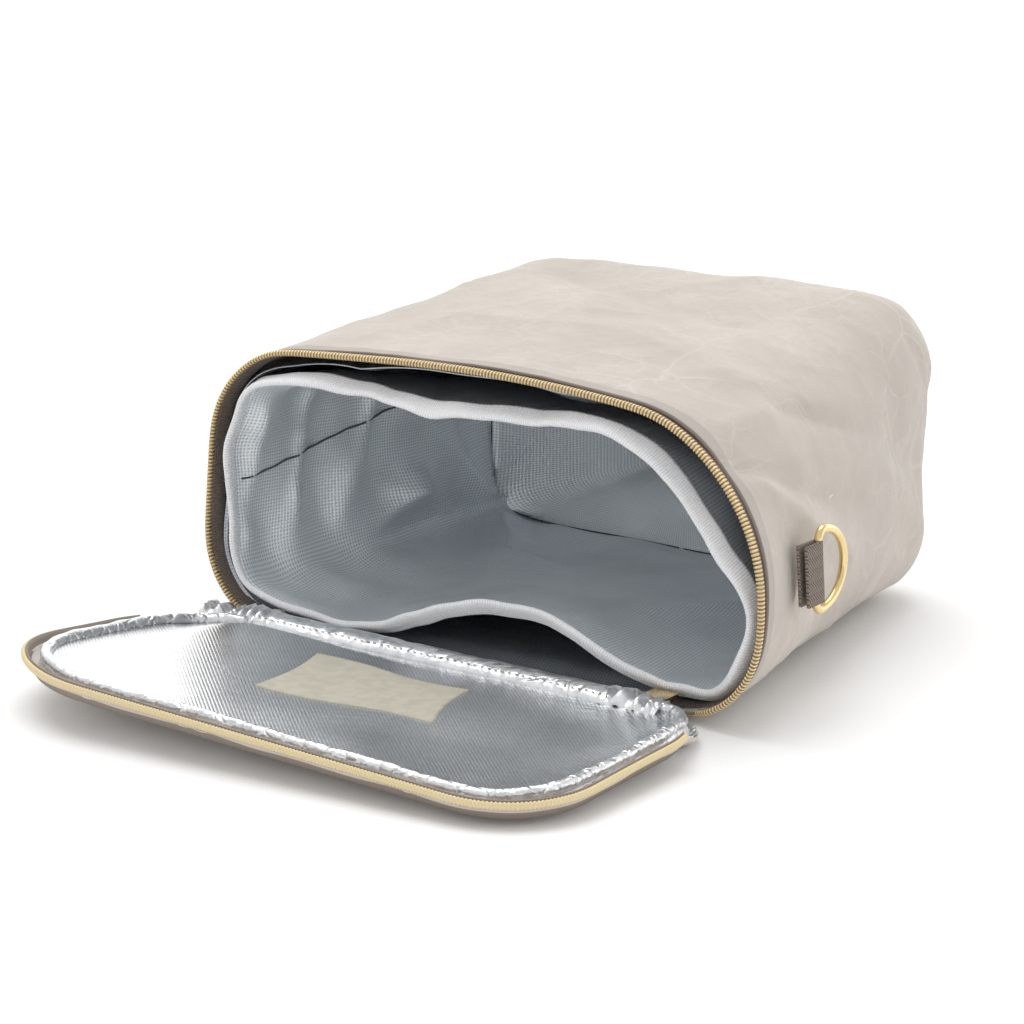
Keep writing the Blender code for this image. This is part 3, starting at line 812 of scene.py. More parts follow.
class COOLER_OT_case(bpy.types.Operator):
    """Builds the outer cloth and the foil lining of the case"""

    bl_idname = "cooler.case"
    bl_label = "Case"

    def execute(self, context):
        settings = context.scene.cooler_case
        linen = washed_linen(settings)
        rows = crease_case(case_rows(settings, start=0.0008))
        cloth = grid("case_cloth", rows, linen, closed=True, flip=True, cap=True)
        thicken(cloth, settings.thickness)
        assign(cloth, "case", "washed_linen", *(f"case_cloth_{side}" for side in SIDES))
        self.lining(settings)
        return {"FINISHED"}

    @staticmethod
    def lining(settings):
        """Foil cloth over the foam: tight at the rim, crumpled further in."""
        foil = foil_cloth("foil_lining", settings.foil, metal=0.8, rough=0.16, crush=0.3, emboss=1.0)
        inner = case_rows(settings, inset=0.0044, start=0.0030, steps=90)
        edge = case_rows(settings, inset=0.0014, start=0.0030, steps=90)
        from_rim = inner[:, :, 1] - MOUTH_Y
        inner = edge + (inner - edge) * smooth_step((from_rim - 0.004) / 0.012)[:, :, None]
        inward = normals_of(inner, closed=True)
        fade = smooth_step((from_rim - 0.006) / 0.012)
        high = 0.25 + 0.75 * smooth_step((inner[:, :, 2] - 0.02) / 0.03)
        crumple = 1.8 * ripple(inner, 34.0, 8) + 1.6 * ridges(inner, 30.0, 9)
        far = away_from_ring(inner, 0.030)
        depth = crumple * high * fade * far * MM + 0.0034 * (1 - far)
        lining = grid("case_lining", inner + inward * depth[:, :, None], foil, closed=True, cap=True)
        thicken(lining, 0.0006)
        foam = [f"case_foam_{side}" for side in SIDES]
        assign(lining, "case", "foil_lining", "case_lining_walls", "case_lining_base", *foam)


# ---------------------------------------------------------------- zip


def coil_between(name, path, out, along_y, settings, finish):
    """A nylon coil on a path: an oval tube that swells at each turn."""
    count = int(along(path)[-1] / settings.pitch * 6)
    fine, side, up = carried(count, path, out, along_y)
    run = along(fine)
    swell = 1 + 0.13 * np.sin(run * TURN / settings.pitch)
    profile = ellipse(settings.coil_height, settings.coil_width, 10)
    return swept(name, fine, side, up, profile, finish, swell=swell)


class COOLER_OT_zip(bpy.types.Operator):
    """Builds the tape and the coil round the case's mouth"""

    bl_idname = "cooler.zip"
    bl_label = "Zip on the case"

    def execute(self, context):
        case = context.scene.cooler_case
        settings = context.scene.cooler_zip
        tape_finish = woven_tape("zip_tape_cloth", settings.tape, rib=0.0008)
        coil_finish = nylon_coil(settings)
        rim = rim_outline(case, 0.0002)
        outward = np.cross(-FORWARD, turned(rim, True))
        outward /= np.linalg.norm(outward, axis=1, keepdims=True)
        # the zip stops at the hinge, where the foil strip covers its ends
        hinged = (rim[:, 2] < 0.006) & (np.abs(rim[:, 0]) < 0.080)
        path = rim[~hinged]
        out = outward[~hinged]
        # at the top and the right the coil leans in over the opening
        lean = 0.12 + 0.42 * smooth_step((path[:, 2] - 0.02) / 0.06)
        lean = lean * (0.35 + 0.65 * smooth_step((path[:, 0] + 0.10) / 0.06))
        up = FORWARD * np.cos(lean)[:, None] - out * np.sin(lean)[:, None]
        side = out * np.cos(lean)[:, None] + FORWARD * np.sin(lean)[:, None]
        # the coil stands back where the slider's pull swings over it
        x, z = path[:, 0], path[:, 2]
        corner = np.exp(-((x - 0.094) ** 2 + (z - 0.006) ** 2) / 0.020**2)
        parked = (x > 0) * smooth_step((0.101 - x) / 0.010) * smooth_step((0.016 - z) / 0.004)
        root = path + FROM_MOUTH
        root[:, 1] += 0.0022 * corner + 0.0034 * parked
        tape_rows = []
        for reach in (-0.0075, -0.004, 0.0, 0.0006, 0.0011, 0.0016):
            inside = -out * (0.0008 if reach > -0.003 else 0.0020)
            step = (FORWARD if reach <= 0 else up) * reach
            tape_rows.append(root + step + inside)
        tape = grid("case_zip_tape_cloth", np.array(tape_rows), tape_finish)
        thicken(tape, 0.0005, 0.0)
        centre = root + up * 0.0024 + side * 0.0006 - out * 0.0004
        coil = coil_between("case_zip_coil_turns", centre, side, up, settings, coil_finish)
        assign(tape, "case", "zip_tape_cloth", "case_zip_tape")
        assign(coil, "case", "gold_coil", "case_zip_coil")
        return {"FINISHED"}


# ---------------------------------------------------------------- liner

# the liner's mouth as (x, z), from the middle of its lower edge round by the right
LINER_MOUTH = (
    (0.000, 0.0250),
    (0.038, 0.0250),
    (0.071, 0.0120),
    (0.100, 0.0115),
    (0.1135, 0.0320),
    (0.1100, 0.0500),
    (0.0930, 0.0680),
    (0.0700, 0.0890),
    (0.0520, 0.0965),
    (0.0200, 0.0950),
    (-0.022, 0.0930),
    (-0.052, 0.0945),
    (-0.080, 0.0950),
    (-0.1035, 0.0880),
    (-0.1100, 0.0700),
    (-0.1115, 0.0380),
    (-0.1010, 0.0160),
    (-0.075, 0.0095),
    (-0.047, 0.0085),
    (-0.022, 0.0170),
)
# as CASE_FOLDS
LINER_FOLDS = (
    (((-113, 46, 6), (-104, 78, 22), (-96, 100, 36)), 7, 9.0),
    (((-96, 100, 36), (-60, 104, 20), (-30, 90, 10)), 9, 6.0),
    (((-110, 12, 22), (-106, 20, 84)), 4, 4.5),
    (((-108, 34, 18), (-103, 44, 82)), 4, 5.5),
    (((-104, 62, 30), (-101, 80, 76)), 5, 5.5),
    (((-100, 118, 20), (-98, 130, 78)), 5, 4.0),
    (((-40, 30, 8), (10, 75, 8), (30, 120, 8)), 8, 3.5),
    (((40, 60, 12), (76, 120, 14), (84, 150, 40)), 7, 5.0),
    (((90, 20, 20), (88, 70, 40), (84, 140, 70)), 5, 4.0),
    (((-80, 60, 88), (0, 110, 88), (70, 150, 84)), 7, 3.5),
    (((-93, 156, 10), (-99, 125, 45), (-102, 96, 66)), 6, 9.0),
    (((-93, 156, 10), (-62, 120, 9), (-30, 70, 9)), 8, 6.0),
    (((-60, 150, 10), (0, 140, 9), (50, 110, 9)), 7, 3.0),
)


LINER_WALL_ROWS = 64
LINER_CORNER = 0.012
SEAM_WIRE = 0.0008


def liner_rows(settings):
    """Rows of the loose liner from its wavy mouth to its base."""
    mouth = curve_through(LINER_MOUTH, LOOP)
    kinks = np.column_stack([mouth, np.zeros(LOOP)])
    mouth = mouth + 0.0011 * np.column_stack([ripple(kinks, 70.0, 22), ripple(kinks, 70.0, 23)])
    left, right = settings.base_left, settings.base_right
    base = round_outline(left, right, settings.base_low, settings.base_high, [LINER_CORNER] * 4)
    wave = 0.0016 * np.sin(mouth[:, 0] * 90) + 0.0012 * np.sin(mouth[:, 1] * 160 + 1.0)
    twist = 0.0060 * mouth[:, 1] / 0.1 - 0.0060 * mouth[:, 0] / (2 * RIM_HALF)
    rows = []
    for share in np.linspace(0, 1, LINER_WALL_ROWS):
        ease = share * 0.45 + 0.55 * (1 - (1 - share) ** 2.4)
        flat = mouth + (base - mouth) * ease
        y = (wave + twist + 0.0012) * (1 - share) ** 2 + settings.depth * share
        rows.append(np.stack([flat[:, 0], y, flat[:, 1]], axis=1))
    ring = rows[-1]
    centre = ring.mean(axis=0)
    rows += [centre + (ring - centre) * share for share in np.linspace(1, 0.03, 18)[1:]]
    return np.array(rows)


def fold_liner(rows):
    """Long folds that run back from the left wall, and shallow hollows in the floor."""
    inward = normals_of(rows, closed=True)
    x, y, z = rows[:, :, 0], rows[:, :, 1], rows[:, :, 2]
    left = smooth_step((-x - 0.055) / 0.035) * smooth_step(y / 0.012)
    away = smooth_step(y / 0.02)
    fan = np.sin((z * 0.25 + y) * TURN / 0.034) * 1.4 * left * smooth_step((0.11 - y) / 0.05)
    hollows = 1.5 * ripple(rows, 17.0, 11) + 0.7 * ripple(rows, 42.0, 12)
    lines = 1.6 * ridges(rows * np.array([1.0, 0.7, 1.2]), 16.0, 13)
    depth = (fan + (hollows + lines) * away * (0.6 + 0.4 * left)) * MM
    moved = rows + inward * depth[:, :, None] + FROM_MOUTH
    for line, width, height in LINER_FOLDS:
        moved = crease(moved, inward, line, width, height)
    return moved


class COOLER_OT_liner(bpy.types.Operator):
    """Builds the loose foil liner, its seams and its woven binding"""

    bl_idname = "cooler.liner"
    bl_label = "Liner"

    def execute(self, context):
        settings = context.scene.cooler_liner
        foil = foil_cloth("liner_foil", settings.foil, metal=0.50, rough=0.28, crush=0.2, emboss=0.9)
        rows = fold_liner(liner_rows(settings))
        pouch = grid("liner_pouch", rows, foil, closed=True, cap=True)
        thicken(pouch, 0.0012)
        seams = self.seams(rows + normals_of(rows, closed=True) * 0.0002)
        binding = self.binding(settings, rows)
        assign(pouch, "liner", "liner_foil", *(f"liner_{side}" for side in sorted(SIDES)))
        assign(binding, "liner", "white_binding", "liner_binding")
        for seam in seams:
            assign(seam, "liner", None)
        return {"FINISHED"}

    @staticmethod
    def seams(rows):
        """Dark threads along the left wall's seam, which climbs towards the base, and round the base."""
        thread = woven_tape("seam_thread", SEAM_THREAD, rib=0.0012)
        wall = []
        for row in rows[2 : LINER_WALL_ROWS - 1]:
            target = 0.051 + 0.015 * (row[:, 1].mean() - MOUTH_Y) / 0.080
            off = np.where(row[:, 0] < -0.07, np.abs(row[:, 2] - target), 1.0)
            wall.append(row[int(np.argmin(off))])
        made = []
        for name, path in (("wall", wall), ("base", rows[LINER_WALL_ROWS - 1])):
            path = softened(spaced(path, 160), 24, closed=False)
            way = turned(path, False)
            side = np.cross(way, UP)
            side /= np.maximum(np.linalg.norm(side, axis=1, keepdims=True), 1e-6)
            profile = ellipse(SEAM_WIRE, SEAM_WIRE, 6)
            made.append(swept(f"liner_seam_{name}", path, side, np.cross(side, way), profile, thread))
        return made

    @staticmethod
    def binding(settings, rows):
        """Tape folded over the mouth's edge: a flat loop in section, carried round the mouth."""
        finish = woven_tape("white_binding", settings.tape, rib=0.00100, contrast=0.16)
        edge = rows[0]
        deeper = rows[3] - edge
        deeper /= np.linalg.norm(deeper, axis=1, keepdims=True)
        # the tape is turned to face out of the mouth
        inward = normals_of(rows, closed=True)[1]
        tilt = 0.95
        back = deeper * math.cos(tilt) - inward * math.sin(tilt) * 0.55
        back /= np.linalg.norm(back, axis=1, keepdims=True)
        face = np.cross(back, turned(edge, True))
        face /= np.linalg.norm(face, axis=1, keepdims=True)
        width = settings.binding * (1 + 0.07 * np.sin(along(edge) * 130))
        half = 0.0011
        flat = [(0.0, 0.95), (0.25, 1.1), (0.55, 0.95), (0.85, 1.1), (1.0, 0.8)]
        section = [(-0.10, 0.0), *flat, *((reach, -up) for reach, up in reversed(flat))]
        ruffle = 0.0013 * ripple(edge, 60.0, 21)[:, None]
        bands = []
        for reach, up in section:
            across = back * ((reach - 0.42) * width)[:, None]
            bands.append(edge + across + face * (up * half + ruffle * (1 - reach)))
        bands = np.array(bands).transpose(1, 0, 2)
        bands = np.concatenate([bands, bands[:1]])
        run = np.append(along(edge), along(edge)[-1] + 0.002)
        girth = np.linspace(0, 0.016, len(section) + 1)
        return grid("liner_binding_tape", bands, finish, closed=True, uv=weave_map(run, girth))


# ---------------------------------------------------------------- lid


# how much narrower the lid is than the mouth, at each side
LID_SHY = 0.0042
LID_RADII = (0.022, 0.033, 0.050, 0.022)
# how far in from the lid's edge, and how far under its zip, the outer cloth runs, in mm
TRAY_SECTION = (
    (1.8, 2.8),
    (2.0, 3.6),
    (3.4, 4.4),
    (7.0, 5.8),
    (12.0, 7.6),
    (18.0, 9.6),
    (25.0, 12.0),
    (33.0, 14.4),
    (42.0, 17.0),
    (50.0, 20.0),
)
TRAY_BACK = -0.0165
GROUND = 0.0005
# the label's left edge and its right edge, each from front to back, in mm
LABEL_CORNERS = (((-33, -81), (-38, -38)), ((35, -73), (26, -38)))
LABEL_SIZE = (0.066, 0.040)
PAD_TOP = 0.0110


def lid_outline(settings, inset=0.0, count=LOOP):
    """The lid's outline on the ground, from the middle of its back edge round by the right: (x, y)."""
    back = settings.back - inset
    front = settings.back - settings.depth + inset
    radii = [max(0.003, r - inset) for r in LID_RADII]
    half = RIM_HALF - LID_SHY - inset
    outline = round_outline(-half, half, -back, -front, radii, count)
    outline = softened(outline, 4)
    x, y = outline[:, 0], -outline[:, 1]
    return np.stack([x * (1 - 0.05 * smooth_step((y + 0.055) / 0.035)), y], axis=1)


def lid_height(settings, x, y):
    """How high the zip stands above the ground at a place on the lid's edge."""
    ahead = (settings.back - y) / settings.depth
    level = settings.height - settings.front_drop * ahead - settings.tilt * x / RIM_HALF * ahead
    sag = 3.0 + 1.2 * (0.5 - x / (2 * RIM_HALF))
    return level * (1 - sag * np.maximum(y + 0.115, 0.0))


def sunk_back(settings, high, xy, low):
    """Heights that sink to a low one along the hinged edge."""
    behind = smooth_step((xy[:, 1] - settings.back + 0.034) / 0.024)
    return high * (1 - behind) + low * behind


def edge_frame(settings, inset, reach=0.0):
    """The lid's edge without its hinged back: points, outward directions, and zip heights."""
    loop = lid_outline(settings, inset, 2 * LOOP)
    if reach:
        hinged = loop[:, 1] > settings.back - reach
    else:
        hinged = (loop[:, 1] > settings.back - 0.004 - inset) & (np.abs(loop[:, 0]) < 0.086)
    loop = loop[~hinged]
    direction = turned(np.column_stack([loop, np.zeros(len(loop))]), False)
    out = np.cross(UP, direction)
    out /= np.linalg.norm(out, axis=1, keepdims=True)
    return loop, out, lid_height(settings, loop[:, 0], loop[:, 1])


def fold_with_lid(piece):
    """Bakes the piece's placement into its mesh, where it stays; the two places either side of the fold are
    worked out and not used.
    """
    at(0, FOLD_Y + 0.013, 0)
    at(0, FOLD_Y - 0.014, 0)
    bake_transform(piece)


class COOLER_OT_lid(bpy.types.Operator):
    """Builds the lid: cloth tray, padded foil panel, piping, zip and label"""

    bl_idname = "cooler.lid"
    bl_label = "Lid"

    def execute(self, context):
        settings = context.scene.cooler_lid
        linen = bpy.data.materials["washed_linen"]
        foil = foil_cloth("lid_foil", settings.foil, metal=0.92, rough=0.14, crush=0.10, emboss=0.55)
        bright = crumpled_foil("foil_tape", PIPING_FOIL)
        tray, tray_area = self.tray(settings, linen)
        panel = self.panel(settings, foil)
        tape, tape_area, coil = self.zip(settings, context.scene.cooler_zip)
        piping = self.piping(settings, bright)
        gusset, gusset_area = self.inner_gusset(settings, bright)
        label, label_area = self.label(settings)
        for piece in (tray, panel, tape, gusset, label):
            baked(piece)
        assign(tray, "fold", "washed_linen", "lid_cloth", "lid_gusset")
        assign(panel, "fold", "foil_lining", "lid_lining", "lid_foam")
        assign(tape, "fold", "zip_tape_cloth", "lid_zip_tape")
        assign(coil, "fold", "gold_coil", "lid_zip_coil")
        assign(piping, "fold", "foil_lining", "lid_piping")
        assign(gusset, "fold", "foil_lining")
        assign(label, "lid", "cream_label", "lid_label")
        return {"FINISHED"}

    @staticmethod
    def zip(settings, zip_settings):
        """The lid's tape and coil, leaning out over its edge."""
        loop, out, high = edge_frame(settings, 0.0, 0.033)
        tilt = 0.35
        up = UP * math.cos(tilt) + out * math.sin(tilt)
        side = out * math.cos(tilt) - UP * math.sin(tilt)
        root = np.column_stack([loop, high - 0.0034]) + FROM_MOUTH - out * 0.0010
        rows = np.array([root + up * reach - side * 0.0008 for reach in (-0.0040, 0.0, 0.0018, 0.0034)])
        tape = grid("lid_zip_tape_cloth", rows, bpy.data.materials["zip_tape_cloth"])
        area = area_of(tape)
        thicken(tape, 0.0005, 0.0)
        centre = root + up * 0.0019 + side * 0.0004
        gold = bpy.data.materials["gold_coil"]
        return tape, area, coil_between("lid_zip_coil_turns", centre, side, up, zip_settings, gold)

    @staticmethod
    def piping(settings, bright):
        """A pinched foil tube between the zip and the pad."""
        loop, _, high = edge_frame(settings, 0.0072)
        flat = np.column_stack([loop, np.zeros(len(loop))]) + FROM_MOUTH
        raised = sunk_back(settings, high - 0.0014, loop, 0.0084) + 0.0010 * ripple(flat, 40.0, 31)
        path = softened(spaced(flat + UP * raised[:, None], 420), 6, closed=False)
        way = turned(path, False)
        across = np.cross(way, UP)
        across /= np.linalg.norm(across, axis=1, keepdims=True)
        pinch = 1 + 0.16 * ripple(path, 160.0, 32)
        profile = ellipse(settings.piping * 2.0, settings.piping * 2.1, 14)
        lift = np.cross(across, way)
        return swept("lid_piping_foil", path, across, lift, profile, bright, swell=pinch)

    @staticmethod
    def tray(settings, linen):
        """The outer cloth: from the zip down a soft side and under the lid."""
        outer = lid_outline(settings)
        high = lid_height(settings, outer[:, 0], outer[:, 1])
        high = sunk_back(settings, high, outer, 0.0062)
        centre = np.array([0.0, settings.back - settings.depth / 2])
        rows = []
        for inset, drop in TRAY_SECTION:
            loop = lid_outline(settings, inset * MM)
            z = np.maximum(high - drop * MM, GROUND + 0.0001)
            rows.append(np.column_stack([loop[:, 0], np.minimum(loop[:, 1], TRAY_BACK), z]))
        last = rows[-1]
        for share in np.linspace(1, 0.04, 16)[1:]:
            flat = centre + (last[:, :2] - centre) * share
            rows.append(np.column_stack([flat, np.maximum(last[:, 2] * share, GROUND + 0.0001)]))
        rows = np.array(rows) + FROM_MOUTH
        puff = 0.0009 * ripple(rows, 38.0, 41)
        rows = rows - normals_of(rows, closed=True) * puff[:, :, None]
        rows[:, :, 2] = np.maximum(rows[:, :, 2], GROUND)
        made = grid("lid_cloth_tray", rows, linen, closed=True, flip=True, cap=True, start=0.012)
        area = area_of(made)
        return thicken(made, 0.0009), area

    @staticmethod
    def panel(settings, foil):
        """The padded foil panel inside the piping."""
        edge = lid_outline(settings, 0.0078)
        centre = np.array([0.0, settings.back - settings.depth / 2])
        high = lid_height(settings, edge[:, 0], edge[:, 1])
        rim = sunk_back(settings, high - 0.0020, edge, 0.0078)
        shares = np.linspace(1, 0.02, 44)
        rows = []
        for share in shares:
            xy = centre + (edge - centre) * share
            dip = smooth_step((1 - share) / 0.22)
            middle = 0.0094 - 0.010 * (xy[:, 0] / (2 * RIM_HALF))
            rows.append(np.column_stack([xy, rim * (1 - dip) + middle * dip]))
        rows = np.array(rows) + FROM_MOUTH
        away = smooth_step((1 - shares) / 0.12)[:, None]
        level = rows * np.array([1, 1, 0])
        soft = 1.1 * ripple(level, 16.0, 51) + 0.3 * ripple(level, 45.0, 52)
        rows[:, :, 2] += soft * away * MM
        # the foil's diamonds run with the lid's sides
        x, y, _ = np.concatenate([rows, rows[:, :1]], axis=1).transpose(2, 0, 1)
        weave = np.stack([x + y, x - y], axis=2) * 0.7071
        made = grid("lid_pad", rows, foil, closed=True, flip=True, cap=True, uv=weave)
        return thicken(made, 0.0030)

    @staticmethod
    def inner_gusset(settings, bright):
        """Foil between the piping and the zip's tape, sunk in a shadowed groove."""
        sides = []
        for inset, down, low in ((0.0020, 0.0040, 0.0050), (0.0064, 0.0022, 0.0076)):
            loop, _, high = edge_frame(settings, inset)
            sides.append(spaced(np.column_stack([loop, sunk_back(settings, high - down, loop, low)]), 400))
        near, far = sides
        sunk = (near + far) / 2 - UP * 0.0030
        down = [near + (sunk - near) * share for share in np.linspace(0, 1, 5)]
        rise = [sunk + (far - sunk) * share for share in np.linspace(0, 1, 5)[1:]]
        rows = np.array(down + rise) + FROM_MOUTH
        rows[:, :, 2] += 0.0007 * ripple(rows, 170.0, 61)
        made = grid("lid_inner_gusset", rows, bright)
        area = area_of(made)
        return thicken(made, 0.0004, 0.0), area

    @staticmethod
    def label(settings):
        """A blank label with bowed ends, lying on the pad."""
        finish = label_weave(settings.label)
        corners = np.array(LABEL_CORNERS, float) * MM
        across, up = weave_map(np.linspace(0, 1, 49), np.linspace(0, 1, 31)).transpose(2, 0, 1)[..., None]
        low = corners[0, 0] * (1 - across) + corners[1, 0] * across
        top = corners[0, 1] * (1 - across) + corners[1, 1] * across
        bow = 0.0022 * np.sin(math.pi * up) * (2 * across - 1)
        dip = 0.0016 * np.sin(TURN * across) * (2 * up - 1)
        flat = low * (1 - up) + top * up + np.concatenate([-bow, dip], axis=2)
        points = np.concatenate([flat, np.zeros_like(bow)], axis=2) + FROM_MOUTH
        run = np.concatenate([across, up], axis=2) * np.array(LABEL_SIZE)
        made = grid("lid_label_cloth", points, finish, uv=run)
        pad = bpy.data.objects["lid_pad"]
        graph = bpy.context.evaluated_depsgraph_get()
        graph.update()
        surface = pad.evaluated_get(graph)
        for vert in made.data.vertices:
            above = Vector((vert.co.x, vert.co.y, 0.05))
            hit, spot, _, _ = surface.ray_cast(above, Vector((0, 0, -1)))
            vert.co.z = (spot.z if hit else PAD_TOP) + 0.0003
        area = area_of(made)
        return thicken(made, 0.0005, 1.0), area


# ---------------------------------------------------------------- hinge


# (y from the mouth, z) in mm, from the lid to the case
FOIL_SECTION = (
    (-18.8, 7.4),
    (-18.0, 9.0),
    (-16.5, 10.4),
    (-14.2, 11.2),
    (-11.0, 11.3),
    (-7.5, 10.6),
    (-4.0, 9.2),
    (-1.0, 7.6),
    (2.0, 6.2),
)
CLOTH_SECTION = ((-34, 1.6), (-26, 2.2), (-18, 3.0), (-10, 3.8), (-2, 4.6), (6, 4.6))
FOIL_MIDDLE = -0.0060


class COOLER_OT_hinge(bpy.types.Operator):
    """Builds the crumpled foil strip and the cloth strip between the case and the lid"""

    bl_idname = "cooler.hinge"
    bl_label = "Hinge"

    def execute(self, context):
        rows = self.foil_rows(context.scene.cooler_case)
        strip = grid("hinge_foil_strip", rows, crumpled_foil("foil_strip", HINGE_FOIL, 110.0, 0.0005))
        baked(thicken(strip, 0.0009))
        stitches = self.stitches(rows)
        wide = np.linspace(-0.084, 0.080, 60)
        level = np.ones(60)
        cloth_rows = [np.column_stack([wide, y * MM * level, z * MM * level]) for y, z in CLOTH_SECTION]
        linen = bpy.data.materials["washed_linen"]
        cloth = grid("hinge_cloth_strip", np.array(cloth_rows) + FROM_MOUTH, linen)
        baked(thicken(cloth, 0.0009))
        assign(strip, "fold", "foil_lining", "hinge_binding", "hinge_lining")
        assign(stitches, "fold", None)
        assign(cloth, "fold", "washed_linen", "hinge_cloth")
        return {"FINISHED"}

    @staticmethod
    def foil_rows(settings):
        """The strip's skin: a low hump, gathered hard at both ends."""
        x = np.linspace(-0.1090, 0.0890, 340)
        from_middle = np.abs(x - FOIL_MIDDLE)
        ends = smooth_step((from_middle - 0.068) / 0.014)
        beyond = smooth_step((from_middle - 0.080) / 0.010)
        rows = []
        for y, z in FOIL_SECTION:
            y = y * MM * (1 - beyond) + min(y, -7.5) * MM * beyond
            rows.append(np.column_stack([x, y, z * MM - 0.0012 * beyond]))
        rows = np.array(rows) + FROM_MOUTH
        rows[:, :, 1] -= settings.rim_twist * rows[:, :, 0] / (2 * RIM_HALF)
        gather = np.sin(x * TURN / 0.0052 + 2.0 * np.sin(x * 210)) * ends * 0.0013
        rows[:, :, 2] += gather + (0.0004 + 0.0012 * ends) * ripple(rows, 130.0, 71)
        rows[:, :, 1] += (0.0003 + 0.0012 * ends) * ripple(rows, 110.0, 72)
        return rows

    @staticmethod
    def stitches(rows):
        """Dark thread stitches along the strip's front edge."""
        finish = woven_tape("stitch_thread", STITCH_THREAD, rib=0.0006)
        front = rows[2] + FORWARD * 0.0002 + UP * 0.0002
        thread = 0.00014
        quads = [(0, 1, 5, 4), (1, 2, 6, 5), (2, 3, 7, 6), (3, 0, 4, 7), (3, 2, 1, 0), (4, 5, 6, 7)]
        points = []
        faces = []
        uvs = []
        for i in range(45, len(front) - 30, 5):
            base = len(points)
            side = np.cross(front[i + 2] - front[i], UP)
            side *= thread / np.linalg.norm(side)
            for end in (front[i], front[i + 2]):
                points += [end + side, end + UP * thread, end - side, end - UP * thread]
            for quad in quads:
                faces.append([base + k for k in quad])
                uvs += [(0, 0), (MM, 0), (MM, MM), (0, MM)]
        return make("hinge_stitches", points, faces, uvs, finish)


# ---------------------------------------------------------------- rings


class COOLER_OT_rings(bpy.types.Operator):
    """Builds the strap rings and their webbing tabs, and finishes the slider and its pull"""

    bl_idname = "cooler.rings"
    bl_label = "Rings, tabs and slider"

    def execute(self, context):
        settings = context.scene.cooler_rings
        gold = polished_gold("gold_metal", settings.gold)
        webbing = herringbone(settings.webbing)
        joints = {j["name"]: j for j in frame["joints"]}
        for side, way in (("right", 1), ("left", -1)):
            bar = np.array(joints[f"ring_{side}_swing"]["pos_m"])
            ring = self.ring(side, bar, settings.wire, gold)
            assign(ring, f"ring_{side}", "gold_metal", f"ring_{side}")
            tab, area = self.tab(side, way, bar, settings.wire, webbing)
            assign(tab, "case", "taupe_webbing", f"webbing_{side}")
        for node in ("zip_slider", "zip_pull"):
            piece = frame["nodes"][node]
            bevel = piece.modifiers.new("soft_edges", "BEVEL")
            bevel.width = 0.00025
            bevel.segments = 3
            bevel.limit_method = "ANGLE"
            piece.data.materials.clear()
            piece.data.materials.append(gold)
        return {"FINISHED"}

    @staticmethod
    def ring(side, bar, wire, gold):
        """A D of round wire: a straight bar and a full bow."""
        low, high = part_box(f"ring_{side}")
        reach = high.y - bar[1] - wire / 2
        half = (high.z - low.z) / 2 - wire / 2
        shoulder = 0.0022
        points = [(0.0, t) for t in np.linspace(-half * 0.84, half * 0.84, 12)]
        for turn in np.linspace(math.pi / 2, -math.pi / 2, 40):
            points.append((shoulder + (reach - shoulder) * math.cos(turn), half * math.sin(turn)))
        y, z = softened(spaced(points, 160, closed=True), 5).T
        lean = (low.x + high.x) / 2 - bar[0]
        path = np.column_stack([bar[0] + lean * y / reach, bar[1] - 0.0009 + y, bar[2] + z])
        across = np.tile(np.array([1.0, 0.0, 0.0]), (len(path), 1))
        lift = np.cross(across, turned(path, True))
        profile = ellipse(wire, wire, 20)
        return swept(f"strap_ring_{side}", path, across, lift, profile, gold, closed=True)

    @staticmethod
    def tab(side, way, bar, wire, webbing):
        """Webbing that comes out of the side seam, folds round the bar and goes back in."""
        wide = 0.0220
        room = wire / 2 + 0.0004
        run = [(-0.0108, room + 0.0002), (-0.0060, room + 0.0003), (-0.0025, room + 0.0002)]
        for turn in np.radians(np.linspace(90, -90, 13)):
            run.append((room * math.cos(turn), room * math.sin(turn)))
        run += [(-0.0025, -room), (-0.0060, -room - 0.0001), (-0.0108, -room - 0.0002)]
        run = spaced(run, 60)
        rows = []
        for t in np.linspace(-1, 1, 21):
            z = bar[2] + t * wide / 2
            slant = 0.0016 * t
            rows.append([(bar[0] + way * n, bar[1] + y - slant, z) for y, n in run])
        uv = weave_map(np.linspace(0, wide, 21), along(run))
        made = grid(f"strap_tab_{side}", rows, webbing, uv=uv, flip=way < 0)
        area = area_of(made)
        return thicken(made, 0.0011), area


# ---------------------------------------------------------------- stage


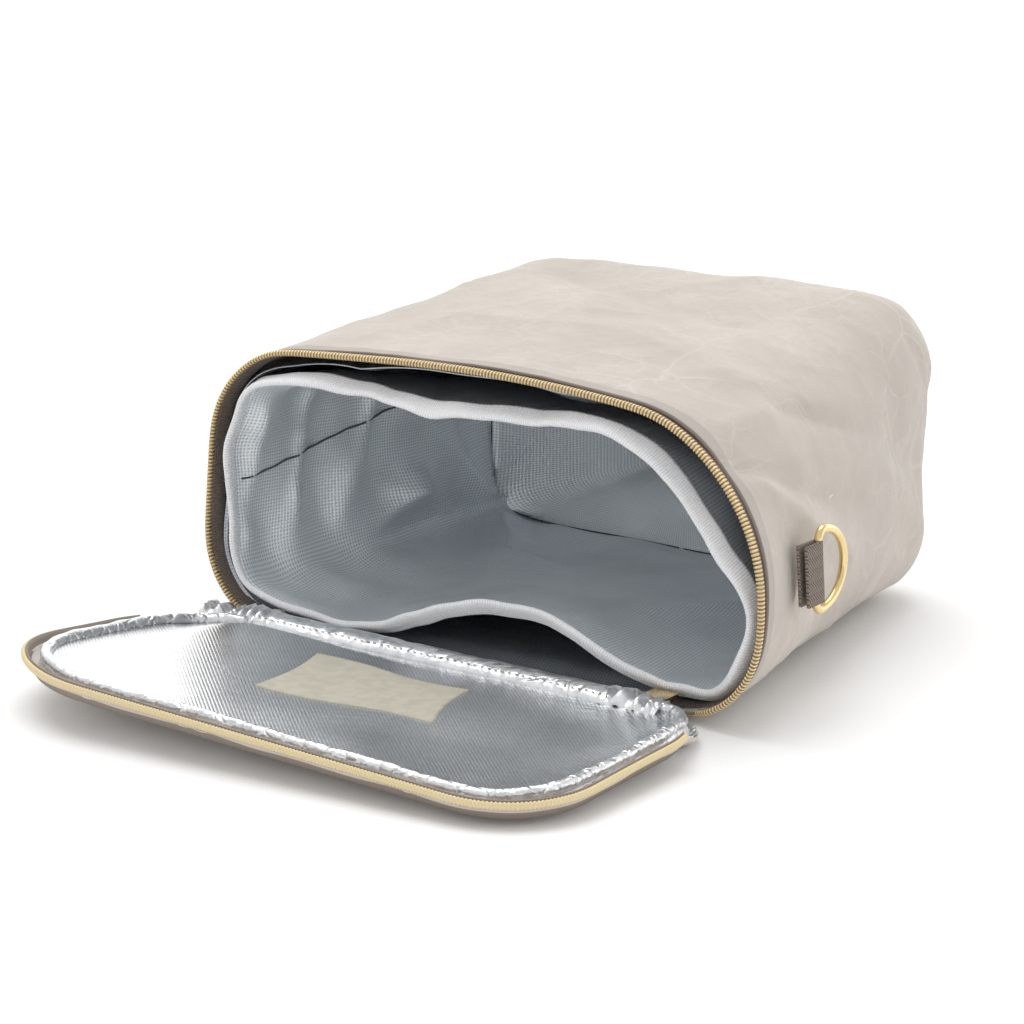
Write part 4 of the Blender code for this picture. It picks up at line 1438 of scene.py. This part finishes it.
class COOLER_OT_stage(bpy.types.Operator):
    """Sets the floor, the light and the camera"""

    bl_idname = "cooler.stage"
    bl_label = "Stage"

    def execute(self, context):
        settings = context.scene.cooler_stage
        scene = context.scene
        scene.view_settings.view_transform = "Standard"
        floor_finish = Finish("pale_floor")
        grain = floor_finish.noise(3.0, 2.0)
        shade = floor_finish.mix(grain, (0.90, 0.90, 0.90), (0.92, 0.92, 0.92))
        floor_finish.set(Base_Color=shade, Roughness=0.9, Specular_IOR_Level=0.1)
        size = 30.0
        corners = [(-size, -size, 0), (size, -size, 0), (size, size, 0), (-size, size, 0)]
        floor = make("floor", corners, [(0, 1, 2, 3)], None, floor_finish.material, smooth=False)
        self.light_world(scene, settings)
        lamp = bpy.data.lights.new("top_light", "SUN")
        lamp.energy = settings.top
        lamp.angle = math.radians(50)
        holder = bpy.data.objects.new("top_light", lamp)
        holder.rotation_mode = "QUATERNION"
        holder.rotation_quaternion = Vector((0.30, -0.22, -1.0)).to_track_quat("-Z", "Y")
        scene.collection.objects.link(holder)
        camera = bpy.data.cameras.new("camera")
        camera.lens = settings.lens
        camera.sensor_width = 36.0
        camera.clip_start = 0.05
        camera.clip_end = 100.0
        eye = bpy.data.objects.new("camera", camera)
        right = Vector((0.8351, 0.5498, 0.0148))
        up = Vector((-0.1493, 0.2006, 0.9682))
        turn = Matrix((right, up, right.cross(up))).transposed().to_4x4()
        eye.matrix_world = Matrix.Translation(at(0.7030, -1.0501, 0.3856)) @ turn
        scene.collection.objects.link(eye)
        scene.camera = eye
        return {"FINISHED"}

    @staticmethod
    def light_world(scene, settings):
        """White all round, and brighter low down behind the bag."""
        scene.world = bpy.data.worlds.new("white_surroundings")
        scene.world.use_nodes = True
        sky = Nodes(scene.world.node_tree)
        way = sky.node("ShaderNodeTexCoord", out="Generated")
        y = sky.node("ShaderNodeSeparateXYZ", None, {0: way}, out="Y")
        z = sky.node("ShaderNodeSeparateXYZ", None, {0: way}, out="Z")
        behind = sky.node("ShaderNodeMapRange", None, {"Value": y, "From Min": 0.1, "From Max": 0.6})
        low = sky.node("ShaderNodeMapRange", None, {"Value": z, "From Min": 0.6, "From Max": 0.35})
        background = sky.tree.nodes["Background"]
        sky.feed(background.inputs["Color"], (1.0, 1.0, 1.0))
        sky.feed(background.inputs["Strength"], behind * low * settings.horizon + settings.sky)


class COOLER_PT_panel(bpy.types.Panel):
    """Lists the pieces of the cooler bag"""

    bl_idname = "COOLER_PT_panel"
    bl_label = "Cooler bag"
    bl_space_type = "VIEW_3D"
    bl_region_type = "UI"
    bl_category = "Cooler bag"

    def draw(self, context):
        for name, kind in SETTINGS.items():
            box = self.layout.box()
            box.label(text=name.split("_")[1].capitalize())
            for key in kind.__annotations__:
                box.prop(getattr(context.scene, name), key)
        for operator in OPERATORS:
            self.layout.operator(operator.bl_idname)


OPERATORS = (
    COOLER_OT_stage,
    COOLER_OT_case,
    COOLER_OT_zip,
    COOLER_OT_liner,
    COOLER_OT_lid,
    COOLER_OT_hinge,
    COOLER_OT_rings,
)
CLASSES = (*SETTINGS.values(), *OPERATORS, COOLER_PT_panel)


def register():
    for kind in CLASSES:
        bpy.utils.register_class(kind)
    for name, kind in SETTINGS.items():
        setattr(bpy.types.Scene, name, bpy.props.PointerProperty(type=kind))


def unregister():
    for name in SETTINGS:
        delattr(bpy.types.Scene, name)
    for kind in reversed(CLASSES):
        bpy.utils.unregister_class(kind)


def main():
    register()
    for operator in OPERATORS:
        group, name = operator.bl_idname.split(".")
        getattr(getattr(bpy.ops, group), name)()


if __name__ == "__main__":
    main()
